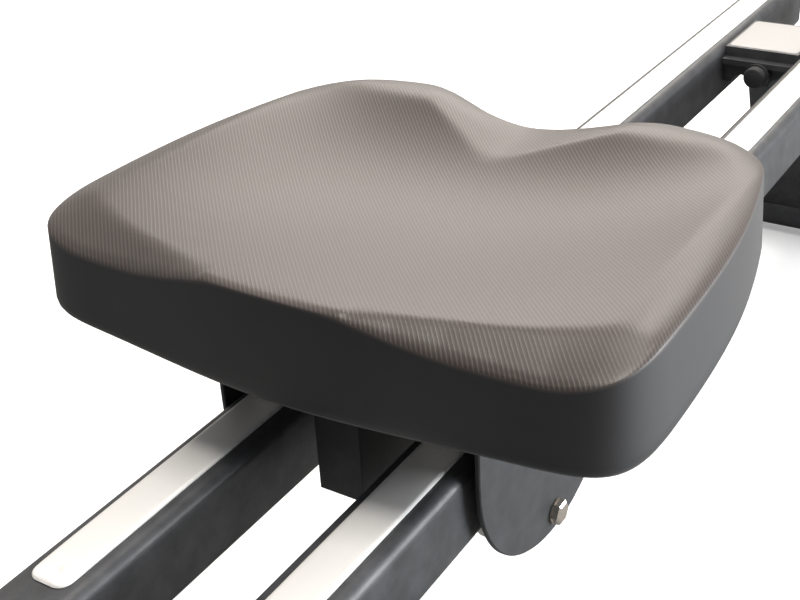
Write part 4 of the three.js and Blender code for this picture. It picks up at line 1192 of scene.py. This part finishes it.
# %% [markdown]
# ## Foot stretcher
# The feet stand on two sloping plates with sliding heel cups, held by straps. Plates and cups keep
# the CAD shape with softer edges. Raised ribs across each plate stop the shoe from slipping.
# Everything here is built flat and then stood up at the board's angle with one matrix.

# %% Foot plates and heel cups
FOOT_TILT, FOOT_AT = math.radians(47.0), Vector((222.0, 0.0, 316.0))
FOOT_WIDTH, FOOT_THICK, FOOT_INNER_Y = 118.0, 6.0, 34.0
RIB_FROM, RIB_PITCH, RIB_HALF = 206.0, 7.0, 45.0
RIB_SHORTER = (0.0, 0.0, 0.0, 0.0, 2.0, 5.0, 10.0)
on_board = Matrix.Translation(FOOT_AT) @ Matrix.Rotation(-FOOT_TILT, 4, "Y")


def stood_up(along, y, z):
    """A point given flat on the board, stood up at the board's angle, in metres."""
    return tuple(on_board @ Vector((along, y, z)) * MM)


def add_rings(points, faces, rings):
    """Adds one more closed part to the points and faces of a piece."""
    more_points, more_faces = swept(rings)
    faces += [tuple(i + len(points) for i in face) for face in more_faces]
    points += more_points


for side, sign in SIDES:
    refine(f"foot_plate_{side}", "moulded_black", 1.2, 3)
    refine(f"heel_cup_{side}", "soft_rubber", 1.2, 3)
    foot_y = sign * (FOOT_INNER_Y + FOOT_WIDTH / 2)
    points, faces = [], []
    for k, shorter in enumerate(RIB_SHORTER):
        along = RIB_FROM + RIB_PITCH * k
        half = RIB_HALF - shorter
        middle = np.linspace(-half + 6, half - 6, 6)
        rings = []
        for y in np.concatenate([[-half, -half + 1.5], middle, [half - 1.5, half]]):
            lift = 1.3 if abs(y) < half - 1.0 else 0.1
            shoulder = lift * 0.7
            section = (
                (-1.6, -0.2), (-1.3, shoulder), (-0.6, lift), (0.6, lift), (1.3, shoulder), (1.6, -0.2))
            rings.append([stood_up(along + a, foot_y + y, FOOT_THICK + b) for a, b in section])
        add_rings(points, faces, rings)
    piece(f"foot_ribs_{side}", points, faces, "soft_rubber", "frame", sharp=50.0)
print(len(RIB_SHORTER), "ribs on each foot plate")

# %% [markdown]
# A strap is a woven band that goes over the foot and through slots at both sides of the plate, with a
# plain slide buckle on top. It is one band swept along an arch, so the weave follows the bend.

# %% Foot straps
STRAP_ALONG, STRAP_WIDTH, STRAP_THICK, BAND_THICK = 190.0, 30.0, 3.0, 2.6
BUCKLE_TOP, BUCKLE_CURVE = 77.6, 0.04
strap_reach = FOOT_WIDTH / 2 + 4.0 - STRAP_THICK / 2
arch = bezier([(strap_reach, 30), (strap_reach, 90), (-strap_reach, 90), (-strap_reach, 30)], 48)
arch = [(strap_reach - 24, -1.9), (strap_reach - 12, -1.9), (strap_reach - 3, -1.7), (strap_reach, 1.5),
        (strap_reach, 10.0), (strap_reach, 20.0), *map(tuple, arch), (-strap_reach, 30.0),
        (-strap_reach, 20.0), (-strap_reach, 10.0), (-strap_reach, 1.5), (-strap_reach + 3, -1.7),
        (-strap_reach + 12, -1.9), (-strap_reach + 24, -1.9)]
board_turn = on_board.to_3x3()
for side, sign in SIDES:
    foot_y = sign * (FOOT_INNER_Y + FOOT_WIDTH / 2)
    path = []
    for k, (y, z) in enumerate(arch):
        before, after = arch[max(k - 1, 0)], arch[min(k + 1, len(arch) - 1)]
        face = Vector((0.0, -(after[1] - before[1]), after[0] - before[0])) * -1.0
        path.append((on_board @ Vector((STRAP_ALONG, foot_y + y, z)), board_turn @ face))
    woven_strap(f"foot_band_{side}", path, board_turn @ Vector((1, 0, 0)), STRAP_WIDTH, BAND_THICK, "frame",
                [f"foot_strap_{side}"])
    points, faces = [], []
    for bar in (-11.0, -3.5, 4.0, 11.0):
        section = rounded_section(3.0, 3.0, 1.2, 3)
        bar_y = foot_y + bar
        add_rings(points, faces, [
            [stood_up(STRAP_ALONG + t, bar_y + a, BUCKLE_TOP + b - abs(bar) * BUCKLE_CURVE) for a, b in section]
            for t in (-18.0, 18.0)])
    for t in (-17.5, 17.5):
        section = rounded_section(3.4, 3.4, 1.3, 3)
        add_rings(points, faces, [
            [stood_up(STRAP_ALONG + t + a, foot_y + y, 77.4 + b) for a, b in section] for y in (-12.4, 12.4)])
    soften(piece(f"strap_buckle_{side}", points, faces, "moulded_black", "frame", sharp=40.0), 0.3)
print("foot straps are", len(arch), "steps long")

# %% [markdown]
# ## Monitor
# The monitor is a flat box with round corners on a mast. A frame round the window, a plain set of
# figures and two rubber keys are enough for a display. The figures are seven-segment digits, built as
# thin bars on the window, and show a plain row of noughts.

# %% Monitor
MONITOR_AT, MONITOR_TILT = Vector((500.0, 0.0, 730.0)), math.radians(62.0)
MONITOR_DEPTH = 26.0
on_monitor = Matrix.Translation(MONITOR_AT) @ Matrix.Rotation(-MONITOR_TILT, 4, "Y")
refine("monitor_body", "moulded_black", 2.0, 3)
refine("monitor_screen", "display_window", 0.4, 2)
refine("monitor_mast", "black_powder", 1.0, 2)
refine("monitor_button_1", "soft_rubber", 0.8, 3)
refine("monitor_button_2", "soft_rubber", 0.8, 3)

SEGMENTS = ((0, 1, 0), (-1, 0.5, 1), (1, 0.5, 1), (-1, -0.5, 1), (1, -0.5, 1), (0, -1, 0))
DIGITS = [(y, 20, 8) for y in (46, 28, -2, -20)] + [(y, -4, 5) for y in (46, 34, 22, -18, -30, -42)]
window_z = MONITOR_DEPTH / 2 - 0.6
points, faces = [], []
for digit_y, digit_x, tall in DIGITS:
    for across_at, up_at, upright in SEGMENTS:
        x = digit_x + up_at * tall
        y = digit_y - across_at * tall * 0.55
        long_half, thin = tall * (0.42 if upright else 0.45), 0.09 * tall
        dx, dy = (long_half, thin) if upright else (thin, long_half)
        corners = [(x - dx, y - dy), (x + dx, y - dy), (x + dx, y + dy), (x - dx, y + dy)]
        base = len(points)
        for lift in (-0.1, 0.12):
            points += [tuple(on_monitor @ Vector((a, b, window_z + lift)) * MM) for a, b in corners]
        faces += [(base, base + 1, base + 2, base + 3), (base + 4, base + 5, base + 6, base + 7)]
        faces += [(base + i, base + (i + 1) % 4, base + 4 + (i + 1) % 4, base + 4 + i) for i in range(4)]
piece("window_figures", points, faces, "display_figures", "monitor", smooth=False)
print(len(DIGITS), "figures in the window")

# %% [markdown]
# ## Transport wheels
# Two wheels at the front let one person tip and roll the machine. Each is a turned rubber tyre with
# three grooves on a plastic hub with a dished web.

# %% Transport wheels
WHEEL_X, WHEEL_Y, WHEEL_Z = 944.0, 170.0, 38.0
for side, sign in SIDES:
    node = f"transport_wheel_{side}"
    body = BODY_OF[node]
    tyre = [(-12.0, 25.0), (-12.0, 31.0), (-10.5, 33.2), (-8.0, 34.0), (-5.0, 34.0), (-4.6, 33.0),
            (-4.0, 33.0), (-3.6, 34.0), (-0.5, 34.0), (-0.1, 33.0), (0.5, 33.0), (0.9, 34.0), (3.6, 34.0),
            (4.0, 33.0), (4.6, 33.0), (5.0, 34.0), (8.0, 34.0), (10.5, 33.2), (12.0, 31.0), (12.0, 25.0)]
    at = (WHEEL_X, sign * WHEEL_Y, WHEEL_Z)
    turned(f"wheel_tyre_{side}", ring_profile(tyre), at, "y", "soft_rubber", body, [node])
    hub = [(-11.0, 24.9), (11.0, 24.9), (11.0, 22.0), (4.0, 20.0), (4.0, 11.0), (11.5, 10.0), (11.5, 5.4),
           (-11.5, 5.4), (-11.5, 10.0), (-4.0, 11.0), (-4.0, 20.0), (-11.0, 22.0)]
    turned(f"wheel_hub_{side}", ring_profile(hub), at, "y", "moulded_black", body)
print("two transport wheels")

# %% [markdown]
# ## Floor and the last line
# The floor is a pale sheet. Light Path gives it two colours: pale for the camera, and a darker grey for
# the light that bounces off it, so that the underside of the machine stays dark. A little glow, seen
# only by the camera, evens it out.

# %% Floor
FLOOR_HALF, FLOOR_GLOW, FLOOR_BOUNCE = 6, 0.28, (0.25, 0.25, 0.25, 1)
floor_mesh = bpy.data.meshes.new("floor")
corners = [(FLOOR_HALF * x, FLOOR_HALF * y, 0) for x, y in ((-1, -1), (1, -1), (1, 1), (-1, 1))]
floor_mesh.from_pydata(corners, [], [(0, 1, 2, 3)])
floor = bpy.data.objects.new("floor", floor_mesh)
scene.collection.objects.link(floor)
paper = bpy.data.materials.new("floor_paper")
paper.use_nodes = True
tree = paper.node_tree
shader = tree.nodes["Principled BSDF"].inputs
place = tree.nodes.new("ShaderNodeTexCoord").outputs["Object"]
sheet = tint(tree, noise(tree, place, 2.0), (0.90, 0.90, 0.90, 1), (0.94, 0.94, 0.94, 1))
direct = tree.nodes.new("ShaderNodeLightPath").outputs["Is Camera Ray"]
tree.links.new(tint(tree, direct, FLOOR_BOUNCE, sheet), shader["Base Color"])
tree.links.new(sheet, shader["Emission Color"])
tree.links.new(calc(tree, "MULTIPLY", direct, FLOOR_GLOW), shader["Emission Strength"])
shader["Roughness"].default_value = 0.8
floor_mesh.materials.append(paper)
print("floor is", 2 * FLOOR_HALF, "m wide")

# %% Check that no CAD node still shows
for node, item in frame["nodes"].items():
    if not item.hide_render:
        print("still shown as CAD:", node)
